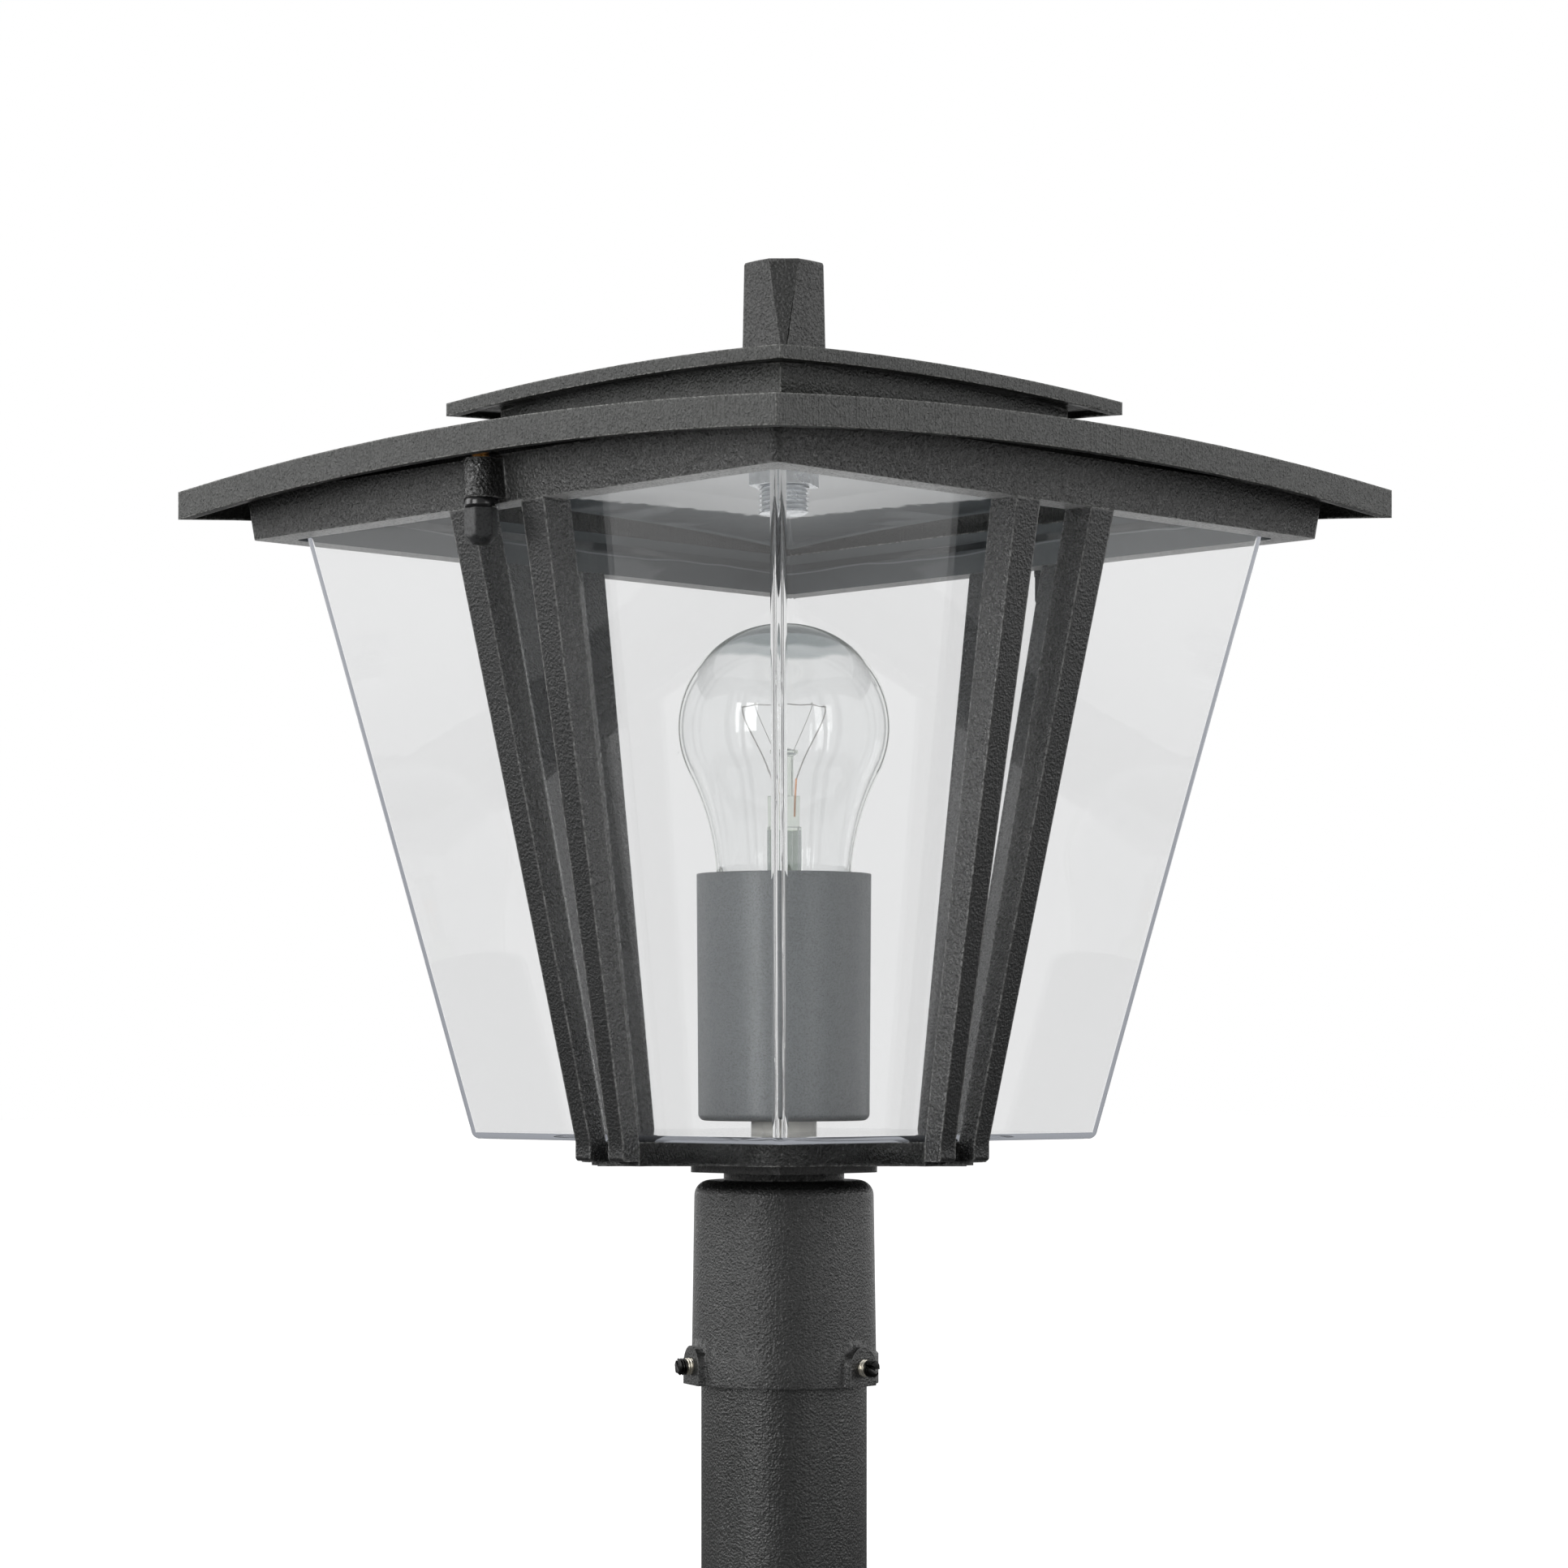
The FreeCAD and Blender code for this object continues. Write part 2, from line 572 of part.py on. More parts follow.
def upper_roof():
    """Second tier: a square neck that carries a small arched roof."""
    neck_inner = NECK_HALF - NECK_WALL
    rim_inner = TIER_HALF - TIER_RIM_WALL
    rim_top = TIER_BASE + TIER_RIM_HEIGHT
    rim_under = rim_top - TIER_SKIN
    ceiling = TIER_TOP - TIER_SKIN
    tier = arched_shell([(TIER_FLAT_HALF, ceiling, 0),
                         (neck_inner, rim_under, 0),
                         (neck_inner, ROOF_FLAT_HEIGHT, 0),
                         (NECK_HALF, ROOF_FLAT_HEIGHT, 0),
                         (NECK_HALF, rim_under, TIER_RISE),
                         (rim_inner, rim_under, TIER_RISE),
                         (rim_inner, TIER_BASE, TIER_RISE),
                         (TIER_HALF, TIER_BASE, TIER_RISE),
                         (TIER_HALF, rim_top, TIER_RISE),
                         (TIER_FLAT_HALF, TIER_TOP, 0)])
    return tier.cut(cylinder(STEM_RADIUS + STEM_FIT, ceiling, TIER_TOP))


def finial_section(half, chamfer, height):
    """Square with cut corners and a faint ridge in the middle of each side."""
    points = []
    for quarter in range(4):
        for x, y in ((-half + chamfer, -half), (0, -half - FINIAL_CREASE), (half - chamfer, -half)):
            points.append(spun(Part.Vertex(x, y, height), 90 * quarter).Point)
    return Part.makePolygon(points + points[:1])


def finial():
    """Block that widens upwards, its corners cut to long triangles."""
    low = finial_section(FINIAL_FOOT_HALF, FINIAL_FOOT_CHAMFER, TIER_TOP)
    high = finial_section(FINIAL_TOP_HALF, FINIAL_TOP_CHAMFER, TIER_TOP + FINIAL_HEIGHT)
    block = Part.makeLoft([low, high], True, True)
    return block.cut(cylinder(STEM_RADIUS + STEM_FIT, TIER_TOP, TIER_TOP + STEM_IN_FINIAL))


def finial_stem():
    return cylinder(STEM_RADIUS, STEM_END, TIER_TOP + STEM_IN_FINIAL)


def stem_washer():
    return tube(STEM_WASHER_RADIUS, STEM_RADIUS + STEM_FIT, CEILING - STEM_WASHER_HEIGHT, CEILING)


def stem_nut():
    top = CEILING - STEM_WASHER_HEIGHT
    low = top - STEM_NUT_HEIGHT
    return hexagon(STEM_NUT_FLATS, low, top).cut(cylinder(STEM_RADIUS + STEM_FIT, low, top))


def locknut_top():
    return POST_TOP + LOCKNUT_LIFT + LOCKNUT_HEIGHT


def holder_nipple():
    """Threaded tube that clamps socket, base, enclosure and lamp holder together."""
    low = locknut_top() - LOCKNUT_HEIGHT
    return tube(NIPPLE_RADIUS, NIPPLE_BORE, low, FLOOR_TOP + NIPPLE_IN_HOLDER)


def nipple_locknut():
    top = locknut_top()
    low = top - LOCKNUT_HEIGHT
    return hexagon(LOCKNUT_FLATS, low, top).cut(cylinder(NIPPLE_RADIUS + NIPPLE_FIT, low, top))


def shell_bore():
    return CAP_RADIUS + SHELL_FIT


def cup_bore():
    return shell_bore() + SHELL_WALL + SHELL_SEAT


def cup_floor():
    return LAMP_TIP - CUP_FLOOR_DROP


def terminal_block_shape(side, grow):
    """One terminal's space, on the +X or -X side of the holder."""
    size = TERMINAL_SIZE + 2 * grow
    centre = side * TERMINAL_REACH
    return Part.makeBox(size, size, TERMINAL_SIZE + grow, vec(centre - size / 2, -size / 2, HOLDER_BASE))


def holder_body():
    """Insulating holder: foot, terminal block and the cup that the lamp screws into."""
    block_top = HOLDER_BASE + HOLDER_BLOCK_HEIGHT
    cup_outer = cup_bore() + CUP_WALL
    body = turned([(0, FLOOR_TOP), (HOLDER_FOOT_RADIUS, FLOOR_TOP),
                   (HOLDER_FOOT_RADIUS, HOLDER_BASE), (HOLDER_RADIUS, HOLDER_BASE),
                   (HOLDER_RADIUS, block_top), (cup_outer, block_top + HOLDER_RADIUS - cup_outer),
                   (cup_outer, CAP_RIM - CUP_RIM_DROP), (0, CAP_RIM - CUP_RIM_DROP)])
    body = body.cut(cylinder(cup_bore(), cup_floor(), CAP_RIM))
    for side in (-1, 1):
        body = body.cut(terminal_block_shape(side, TERMINAL_FIT))
    return body.cut(cylinder(NIPPLE_RADIUS + NIPPLE_FIT, FLOOR_TOP, FLOOR_TOP + NIPPLE_IN_HOLDER))


def holder_sleeve():
    """Plain cover over the lamp holder, with a floor that is clamped under its block."""
    top_outer = SLEEVE_RADIUS + SLEEVE_FLARE
    outer = turned([(0, SLEEVE_BASE), (SLEEVE_RADIUS, SLEEVE_BASE),
                    (top_outer, SLEEVE_TOP), (0, SLEEVE_TOP)])
    foot = [edge for edge in outer.Edges
            if edge.BoundBox.ZMax < SLEEVE_BASE + 0.01 and edge.BoundBox.XLength > SLEEVE_RADIUS]
    outer = outer.makeFillet(SLEEVE_ROUND, foot)
    floor = SLEEVE_BASE + SLEEVE_WALL
    inner = turned([(0, floor), (SLEEVE_RADIUS - SLEEVE_WALL, floor),
                    (top_outer - SLEEVE_WALL, SLEEVE_TOP), (0, SLEEVE_TOP)])
    hole = cylinder(HOLDER_FOOT_RADIUS + SLEEVE_FIT, SLEEVE_BASE, floor)
    return outer.cut(inner).cut(hole)


def shell_contact():
    """Metal shell that the lamp's cap screws into, at the top of the cup."""
    top = CAP_RIM - CUP_RIM_DROP - SHELL_WALL
    return tube(shell_bore() + SHELL_WALL, shell_bore(), top - SHELL_HEIGHT, top)


def centre_contact():
    """Contact button on its post, just under the lamp's tip."""
    top = LAMP_TIP - CONTACT_GAP
    button = cylinder(CONTACT_RADIUS, top - CONTACT_HEIGHT, top)
    return button.fuse(cylinder(CONTACT_RADIUS / 2, cup_floor(), top - CONTACT_HEIGHT))


def terminals():
    """Two terminal blocks, each with a wire hole, in the underside of the holder."""
    blocks = []
    for side in (-1, 1):
        block = terminal_block_shape(side, 0)
        hole = Part.makeCylinder(TERMINAL_SIZE / 4, 2 * TERMINAL_SIZE,
                                 vec(side * TERMINAL_REACH, -TERMINAL_SIZE, HOLDER_BASE + TERMINAL_SIZE / 2),
                                 vec(0, 1, 0))
        blocks.append(block.cut(hole))
    return Part.makeCompound(blocks)


def glass_neck():
    """Outer radius of the glass inside the cap."""
    return CAP_RADIUS - CAP_WALL - CAP_CEMENT


def on_globe(radius, degrees):
    """A point of the globe's half section, at an angle above the widest part."""
    angle = math.radians(degrees)
    return vec(radius * math.cos(angle), 0, GLOBE_CENTRE + radius * math.sin(angle))


def globe_profile(inset):
    """Half section of the glass, moved in by inset: cap neck, shoulder, flank and globe."""
    radius = GLOBE_RADIUS - inset
    neck = vec(glass_neck() - inset, 0, CAP_RIM - GLASS_IN_CAP)
    throat = vec(glass_neck() - inset, 0, CAP_RIM)
    shoulder = vec(LAMP_NECK_RADIUS - inset, 0, LAMP_TIP + LAMP_NECK_HEIGHT)
    flank_end = on_globe(radius, FLANK_ANGLE)
    flank_mid = vec((shoulder.x + flank_end.x) / 2 - FLANK_HOLLOW, 0, (shoulder.z + flank_end.z) / 2)
    crown = on_globe(radius, (90 + FLANK_ANGLE) / 2)
    top = vec(0, 0, GLOBE_CENTRE + radius)
    edges = [Part.LineSegment(neck, throat).toShape(),
             Part.LineSegment(throat, shoulder).toShape(),
             Part.Arc(shoulder, flank_mid, flank_end).toShape(),
             Part.Arc(flank_end, crown, top).toShape()]
    return edges, neck, top


def lamp_glass():
    """Thin pear-shaped glass, open at the cap."""
    outer, outer_neck, outer_top = globe_profile(0)
    inner, inner_neck, inner_top = globe_profile(GLOBE_WALL)
    mouth = Part.LineSegment(inner_neck, outer_neck).toShape()
    crown = Part.LineSegment(outer_top, inner_top).toShape()
    wire = Part.Wire(outer + [crown] + inner[::-1] + [mouth])
    return Part.Face(wire).revolve(ORIGIN, Z, 360)


def lamp_cap():
    """Thin metal cap with a drawn-in lower end."""
    cone_base = LAMP_TIP + CAP_TIP_HEIGHT + CAP_CONE_HEIGHT
    return turned([(CAP_RADIUS, CAP_RIM), (CAP_RADIUS, cone_base + CAP_CONE_HEIGHT),
                   (CAP_CONE_RADIUS, cone_base), (CAP_CONE_RADIUS - CAP_WALL, cone_base),
                   (CAP_RADIUS - CAP_WALL, cone_base + CAP_CONE_HEIGHT),
                   (CAP_RADIUS - CAP_WALL, CAP_RIM)])


def cap_insulator():
    """Glass cone between the cap and the lamp's tip."""
    cone_base = LAMP_TIP + CAP_TIP_HEIGHT + CAP_CONE_HEIGHT
    return turned([(0, LAMP_TIP + CAP_TIP_HEIGHT), (CAP_TIP_RADIUS, LAMP_TIP + CAP_TIP_HEIGHT),
                   (CAP_CONE_RADIUS, cone_base), (0, cone_base)])


def cap_tip():
    """Solder contact at the bottom of the lamp."""
    return turned([(0, LAMP_TIP), (CAP_TIP_RADIUS / 2, LAMP_TIP),
                   (CAP_TIP_RADIUS, LAMP_TIP + CAP_TIP_HEIGHT), (0, LAMP_TIP + CAP_TIP_HEIGHT)])


def glass_stem():
    """Flared tube, flat press, rod and button that carry the lamp's wires."""
    flare_base = CAP_RIM - GLASS_IN_CAP
    flare_radius = glass_neck() - GLOBE_WALL - FLARE_GAP
    wall = STEM_TUBE_RADIUS - STEM_TUBE_BORE
    tube_part = turned([(flare_radius, flare_base), (STEM_TUBE_RADIUS, flare_base + FLARE_HEIGHT),
                        (STEM_TUBE_RADIUS, STEM_TUBE_TOP), (STEM_TUBE_BORE, STEM_TUBE_TOP),
                        (STEM_TUBE_BORE, flare_base + FLARE_HEIGHT), (flare_radius - wall, flare_base)])
    press = Part.makeBox(PRESS_WIDTH, PRESS_DEPTH, PRESS_HEIGHT,
                         vec(-PRESS_WIDTH / 2, -PRESS_DEPTH / 2, STEM_TUBE_TOP))
    press = press.fuse(cylinder(STEM_TUBE_RADIUS, STEM_TUBE_TOP - wall, STEM_TUBE_TOP))
    button_base = PRESS_TOP + GLASS_ROD_HEIGHT
    rod = cylinder(GLASS_ROD_RADIUS, PRESS_TOP, button_base)
    button = turned([(0, button_base), (GLASS_ROD_RADIUS, button_base),
                     (BUTTON_RADIUS, button_base + BUTTON_HEIGHT / 3),
                     (BUTTON_RADIUS, button_base + 2 * BUTTON_HEIGHT / 3), (0, button_base + BUTTON_HEIGHT)])
    return tube_part.fuse(spun(press, LEAD_ANGLE)).fuse(rod).fuse(button).removeSplitter()


def polar(radius, degrees, height):
    return vec(radius * math.cos(math.radians(degrees)), radius * math.sin(math.radians(degrees)), height)


def wire_run(points, radius):
    """A round wire through a few points, with ball joints at its bends."""
    wire = Part.makeSphere(radius, points[0])
    for start, end in zip(points, points[1:]):
        span = end.sub(start)
        wire = wire.fuse(Part.makeCylinder(radius, span.Length, start, span))
        wire = wire.fuse(Part.makeSphere(radius, end))
    return wire


def lead_wires():
    """Two splayed wires from the press to the filament's ends."""
    gap = WIRE_RADIUS + FILAMENT_RADIUS
    knee_height = PRESS_TOP + LEAD_KNEE_SHARE * FILAMENT_RISE
    wires = []
    for angle in (LEAD_ANGLE, LEAD_ANGLE + 180):
        wires.append(wire_run([polar(LEAD_FOOT_SPREAD, angle, PRESS_TOP + WIRE_RADIUS),
                               polar(LEAD_KNEE_SPREAD, angle, knee_height),
                               polar(FILAMENT_RING, angle, FILAMENT_HEIGHT - gap)], WIRE_RADIUS))
    return Part.makeCompound(wires)


def support_wires():
    """Fine hooks from the glass button up to the filament."""
    button_mid = PRESS_TOP + GLASS_ROD_HEIGHT + BUTTON_HEIGHT / 2
    radius = WIRE_RADIUS / 2
    wires = []
    for angle in SUPPORT_ANGLES:
        wires.append(wire_run([polar(BUTTON_RADIUS + radius, angle, button_mid),
                               polar(FILAMENT_RING, angle, FILAMENT_HEIGHT - radius - FILAMENT_RADIUS)],
                              radius))
    return Part.makeCompound(wires)


def filament():
    """Filament bowed in half a circle between the lead wires, on the side of the supports."""
    start = polar(FILAMENT_RING, LEAD_ANGLE, FILAMENT_HEIGHT)
    path = Part.Arc(start, polar(FILAMENT_RING, LEAD_ANGLE - 90, FILAMENT_HEIGHT),
                    polar(FILAMENT_RING, LEAD_ANGLE - 180, FILAMENT_HEIGHT)).toShape()
    direction = polar(1, LEAD_ANGLE - 90, 0)
    circle = Part.Wire(Part.Circle(start, direction, FILAMENT_RADIUS).toShape())
    return Part.Wire(path).makePipeShell([circle], True, True)


def build():
    """Every piece by its node name."""
    pieces = {"post_tube": post_tube(), "post_socket": post_socket(), "base_casting": base_casting(),
              "enclosure": enclosure(), "frame_ring": frame_ring(), "roof_gasket": roof_gasket(),
              "main_roof": main_roof(), "upper_roof": upper_roof(), "finial": finial(),
              "finial_stem": finial_stem(), "stem_washer": stem_washer(), "stem_nut": stem_nut(),
              "roof_studs": roof_studs(), "holder_nipple": holder_nipple(),
              "nipple_locknut": nipple_locknut(), "holder_body": holder_body(),
              "holder_sleeve": holder_sleeve(), "shell_contact": shell_contact(),
              "centre_contact": centre_contact(), "terminals": terminals(),
              "lamp_glass": lamp_glass(), "lamp_cap": lamp_cap(), "cap_insulator": cap_insulator(),
              "cap_tip": cap_tip(), "glass_stem": glass_stem(), "lead_wires": lead_wires(),
              "support_wires": support_wires(), "filament": filament()}
    pieces.update(stiles())
    for number, angle in enumerate(screw_angles(), 1):
        pieces["set_screw_" + str(number)] = set_screw(angle)
    for side, place in stud_places().items():
        pieces["cap_nut_" + side] = cap_nut(place)
        pieces["nut_washer_" + side] = nut_washer(place)
    return pieces


os.makedirs("parts", exist_ok=True)
for name, shape in build().items():
    shape.exportStep("parts/" + name + ".step")
    print(name, len(shape.Solids), "solid(s), valid", shape.isValid(), "volume", round(shape.Volume, 1))
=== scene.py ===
# %% [markdown]
# # A post top lantern
# This lesson dresses a garden lantern: a square metal frame round a clear box, with a lamp
# inside and a low roof on top. The shapes come from a CAD model, so most of the work is in the
# finishes, the fine hardware and the light. Everything is in metres, with Z up.

# %% Load the CAD model
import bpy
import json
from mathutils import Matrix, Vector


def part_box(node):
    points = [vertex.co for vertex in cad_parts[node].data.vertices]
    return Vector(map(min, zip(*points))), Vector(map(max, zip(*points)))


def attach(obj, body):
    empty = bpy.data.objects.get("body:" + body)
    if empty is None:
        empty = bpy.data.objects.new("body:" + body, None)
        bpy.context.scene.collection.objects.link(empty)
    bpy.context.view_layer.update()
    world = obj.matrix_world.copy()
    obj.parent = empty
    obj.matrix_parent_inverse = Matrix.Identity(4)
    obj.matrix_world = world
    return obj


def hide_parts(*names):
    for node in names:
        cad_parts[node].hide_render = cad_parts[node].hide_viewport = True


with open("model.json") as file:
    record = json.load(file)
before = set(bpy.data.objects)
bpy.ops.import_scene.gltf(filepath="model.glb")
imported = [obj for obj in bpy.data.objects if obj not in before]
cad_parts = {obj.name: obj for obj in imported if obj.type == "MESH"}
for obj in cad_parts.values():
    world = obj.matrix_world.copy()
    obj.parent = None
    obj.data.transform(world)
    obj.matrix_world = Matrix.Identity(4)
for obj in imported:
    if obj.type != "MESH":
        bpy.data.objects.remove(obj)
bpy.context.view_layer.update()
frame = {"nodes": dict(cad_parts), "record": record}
print("pieces from the CAD model:", len(frame["nodes"]))

# %% Modules and units
import json
import math

import bmesh
import bpy
from mathutils import Matrix, Vector

MM = 0.001
print("a millimetre in metres:", MM)

# %% [markdown]
# ## Camera
# The camera comes first, because every finish is judged through it. The picture has no
# converging uprights, so the camera is level and looks past the lantern's foot. Its frame is
# moved up by a lens shift, as a view camera does, instead of being tilted.

# %% Camera
picture_pixels = 1932
focal_pixels = 5045.0
horizon_row = 1307.0
camera_distance = 1.187
camera_height = 0.1531
camera_turn = math.radians(45.63)

camera_data = bpy.data.cameras.new("camera")
camera_data.sensor_width = 36.0
camera_data.lens = camera_data.sensor_width * focal_pixels / picture_pixels
camera_data.shift_y = (horizon_row - picture_pixels / 2) / picture_pixels
camera = bpy.data.objects.new("camera", camera_data)
bpy.context.scene.collection.objects.link(camera)
camera.location = (camera_distance * math.sin(camera_turn),
                   -camera_distance * math.cos(camera_turn), camera_height)
camera.rotation_euler = (math.pi / 2, 0, camera_turn)
bpy.context.scene.camera = camera
print("lens", round(camera_data.lens, 2), "mm, shift", round(camera_data.shift_y, 4))

# %% [markdown]
# ## Small helpers for node trees
# A material is a tree of nodes. A few helpers keep that readable: one adds a node with its
# settings, one joins two sockets, and one feeds a node's inputs by their names. Patterns read
# Object coordinates, which stay with a piece wherever it moves.

# %% Node helpers
def add_node(tree, kind, **settings):
    made = tree.nodes.new(kind)
    for name, value in settings.items():
        setattr(made, name, value)
    return made


def join(tree, source, target):
    tree.links.new(source, target)


def feed(tree, node, **values):
    """Feeds inputs by name, each with a socket or a plain value; _ stands for a space."""
    for label, value in values.items():
        socket = node.inputs[label.replace("_", " ")]
        if isinstance(value, bpy.types.NodeSocket):
            join(tree, value, socket)
        else:
            socket.default_value = value
    return node


def math_node(tree, operation, first, second=None):
    """A Math node whose inputs are sockets or plain numbers."""
    made = add_node(tree, "ShaderNodeMath", operation=operation)
    for socket, value in zip(made.inputs, (first, second)):
        if value is None:
            continue
        if isinstance(value, (int, float)):
            socket.default_value = value
        else:
            join(tree, value, socket)
    return made.outputs[0]


def plus(tree, first, second):
    return math_node(tree, "ADD", first, second)


def times(tree, first, second):
    return math_node(tree, "MULTIPLY", first, second)


def stepped(tree, value, low, high, start=0.0, end=1.0):
    """Maps a socket from low..high to start..end, held at both ends."""
    made = add_node(tree, "ShaderNodeMapRange", interpolation_type="SMOOTHSTEP")
    feed(tree, made, Value=value, From_Min=low, From_Max=high, To_Min=start, To_Max=end)
    return made.outputs["Result"]


# Mix has sockets of several types under the same names, so the colour ones are picked here.
def colour_mix(tree, share, first, second):
    made = add_node(tree, "ShaderNodeMix", data_type="RGBA")
    join(tree, share, made.inputs[0])
    for socket, value in ((made.inputs[6], first), (made.inputs[7], second)):
        if isinstance(value, tuple):
            socket.default_value = (*value, 1.0)
        else:
            join(tree, value, socket)
    return made.outputs[2]


def shader_mix(tree, share, first, second):
    made = add_node(tree, "ShaderNodeMixShader")
    for socket, source in zip(made.inputs, (share, first, second)):
        join(tree, source, socket)
    return made.outputs[0]


print("node helpers ready")

# %% [markdown]
# Three patterns make up most of the effects: a noise, the cells of a Voronoi texture, and rare
# round dots, which sit in the middle of a chosen share of those cells.

# %% Pattern helpers
def object_place(tree):
    return add_node(tree, "ShaderNodeTexCoord").outputs["Object"]


def split_axes(tree, place):
    made = add_node(tree, "ShaderNodeSeparateXYZ")
    join(tree, place, made.inputs[0])
    return made.outputs


def noise(tree, place, **values):
    return feed(tree, add_node(tree, "ShaderNodeTexNoise"), Vector=place, **values).outputs["Fac"]


def cells(tree, place, feature="F1", **values):
    made = add_node(tree, "ShaderNodeTexVoronoi", feature=feature)
    return feed(tree, made, Vector=place, **values)


def rare_dots(tree, cell_node, solid, faded, share):
    """Dots of 1 up to the solid distance and 0 beyond the faded one, in a share of the cells."""
    dot = stepped(tree, cell_node.outputs["Distance"], solid, faded, 1.0, 0.0)
    chosen = add_node(tree, "ShaderNodeSeparateColor")
    join(tree, cell_node.outputs["Color"], chosen.inputs[0])
    return times(tree, dot, math_node(tree, "LESS_THAN", chosen.outputs[0], share))


print("pattern helpers ready")

# %% [markdown]
# ## Shared effects as node groups
# All the coated pieces share the same grain, and every coated edge shows the same faint wear and
# painted highlight.
# Each effect is a group, built once, with named inputs, and each material places it with its
# own numbers. A group gives only masks, heights and normals; the shader stays in the material.

# %% Start a group
def new_group(name, inputs, outputs):
    """A node group with its sockets, its input node and its output node."""
    group = bpy.data.node_groups.new(name, "ShaderNodeTree")
    for label, kind, value in inputs:
        group.interface.new_socket(label, in_out="INPUT", socket_type=kind).default_value = value
    for label, kind in outputs:
        group.interface.new_socket(label, in_out="OUTPUT", socket_type=kind)
    return group, group.nodes.new("NodeGroupInput"), group.nodes.new("NodeGroupOutput")


FLOAT, VECTOR = "NodeSocketFloat", "NodeSocketVector"
print("sockets are of the types", FLOAT, "and", VECTOR)

# %% [markdown]
# ### Textured powder coat
# Textured powder melts into a skin of tiny wrinkles, about a millimetre apart, with a few
# larger dimples between them. Real relief would need millions of faces, so a height for a bump
# is enough: a distorted noise gives the wrinkles and cell distances give the dimples. Rare
# bright grains stand for specks of uncovered powder and are also painted glints, where grains
# catch the light.

# %% Coat grain group
DIMPLE_SCALE = 0.8     # dimples and specks are larger than the wrinkles
SPECK_SCALE = 0.45

coat_grain, grain_in, grain_out = new_group(
    "coat grain",
    [("Scale", FLOAT, 1000.0), ("Wrinkle", FLOAT, 0.65), ("Speck Share", FLOAT, 0.1)],
    [("Height", FLOAT), ("Tone", FLOAT), ("Speck", FLOAT)])
place = object_place(coat_grain)
scale = grain_in.outputs["Scale"]
wrinkles = noise(coat_grain, place, Scale=scale, Detail=2.5, Roughness=0.55, Distortion=0.5)
dimples = cells(coat_grain, place, "SMOOTH_F1", Scale=times(coat_grain, scale, DIMPLE_SCALE),
                Smoothness=0.6)
specks = cells(coat_grain, place, Scale=times(coat_grain, scale, SPECK_SCALE))
wrinkle_share = grain_in.outputs["Wrinkle"]
dimple_share = math_node(coat_grain, "SUBTRACT", 1.0, wrinkle_share)
feed(coat_grain, grain_out,
     Height=plus(coat_grain, times(coat_grain, wrinkles, wrinkle_share),
                 times(coat_grain, dimples.outputs["Distance"], dimple_share)),
     Tone=noise(coat_grain, place, Scale=24.0, Detail=3.0),
     Speck=rare_dots(coat_grain, specks, 0.03, 0.12, grain_in.outputs["Speck Share"]))
print("group:", coat_grain.name)

# %% [markdown]
# ### Rounded, thinly covered edges with a painted highlight
# Powder pulls away from sharp edges, so they wear thin; their lighter colour is partly that wear
# and partly a painted highlight, the sparkle that a rounded edge catches. Bevelling every edge of
# a casting would spoil its small faces, so the shader finds the edges: the Bevel node gives the
# normal that a rounded edge would have. Where it differs from the real normal there is an edge,
# and a fine noise breaks that line into sparks of painted highlight. The same normal also softens
# the edge itself.

# %% Edge group
edge_wear_and_highlight, edge_in, edge_out = new_group(
    "edge wear and highlight",
    [("Radius", FLOAT, 0.0005), ("Break Up", FLOAT, 900.0)],
    [("Edge", FLOAT), ("Soft Normal", VECTOR)])
rounder = feed(edge_wear_and_highlight, add_node(edge_wear_and_highlight, "ShaderNodeBevel", samples=6),
               Radius=edge_in.outputs["Radius"])
surface = add_node(edge_wear_and_highlight, "ShaderNodeNewGeometry")
agreement = add_node(edge_wear_and_highlight, "ShaderNodeVectorMath", operation="DOT_PRODUCT")
join(edge_wear_and_highlight, rounder.outputs["Normal"], agreement.inputs[0])
join(edge_wear_and_highlight, surface.outputs["Normal"], agreement.inputs[1])
turned_away = stepped(edge_wear_and_highlight, agreement.outputs["Value"], 0.84, 0.997, 1.0, 0.0)
sparks = noise(edge_wear_and_highlight, object_place(edge_wear_and_highlight), Scale=edge_in.outputs["Break Up"],
               Detail=2.0)
broken = stepped(edge_wear_and_highlight, sparks, 0.40, 0.60, 0.25, 1.0)
feed(edge_wear_and_highlight, edge_out, Edge=times(edge_wear_and_highlight, turned_away, broken),
     Soft_Normal=rounder.outputs["Normal"])
print("group:", edge_wear_and_highlight.name)

# %% [markdown]
# ### Upright streaks
# The roof's rims were filed before they were coated, and the post was drawn through a die. Both
# leave fine upright lines. A noise that is squeezed across and stretched along Z gives them.

# %% Streak group
upright_streaks, streak_in, streak_out = new_group(
    "upright streaks", [("Scale", FLOAT, 1400.0), ("Stretch", FLOAT, 0.06)], [("Streak", FLOAT)])
stretch = feed(upright_streaks, add_node(upright_streaks, "ShaderNodeCombineXYZ"),
               X=1.0, Y=1.0, Z=streak_in.outputs["Stretch"])
squeezed = add_node(upright_streaks, "ShaderNodeVectorMath", operation="MULTIPLY")
join(upright_streaks, object_place(upright_streaks), squeezed.inputs[0])
join(upright_streaks, stretch.outputs[0], squeezed.inputs[1])
feed(upright_streaks, streak_out,
     Streak=noise(upright_streaks, squeezed.outputs[0], Scale=streak_in.outputs["Scale"],
                  Detail=2.0))
print("group:", upright_streaks.name)

# %% [markdown]
# ### Dust and slow waves on clear surfaces
# Clear plastic and lamp glass are never quite flat, and a few grains of dust sit on them. Both
# only bend light a little, so this group gives one height for a Bump node.

# %% Clear surface group
DUST_SHARE = 0.10      # of the cells
DUST_HEIGHT = 0.5      # beside the waves, whose noise runs from 0 to 1

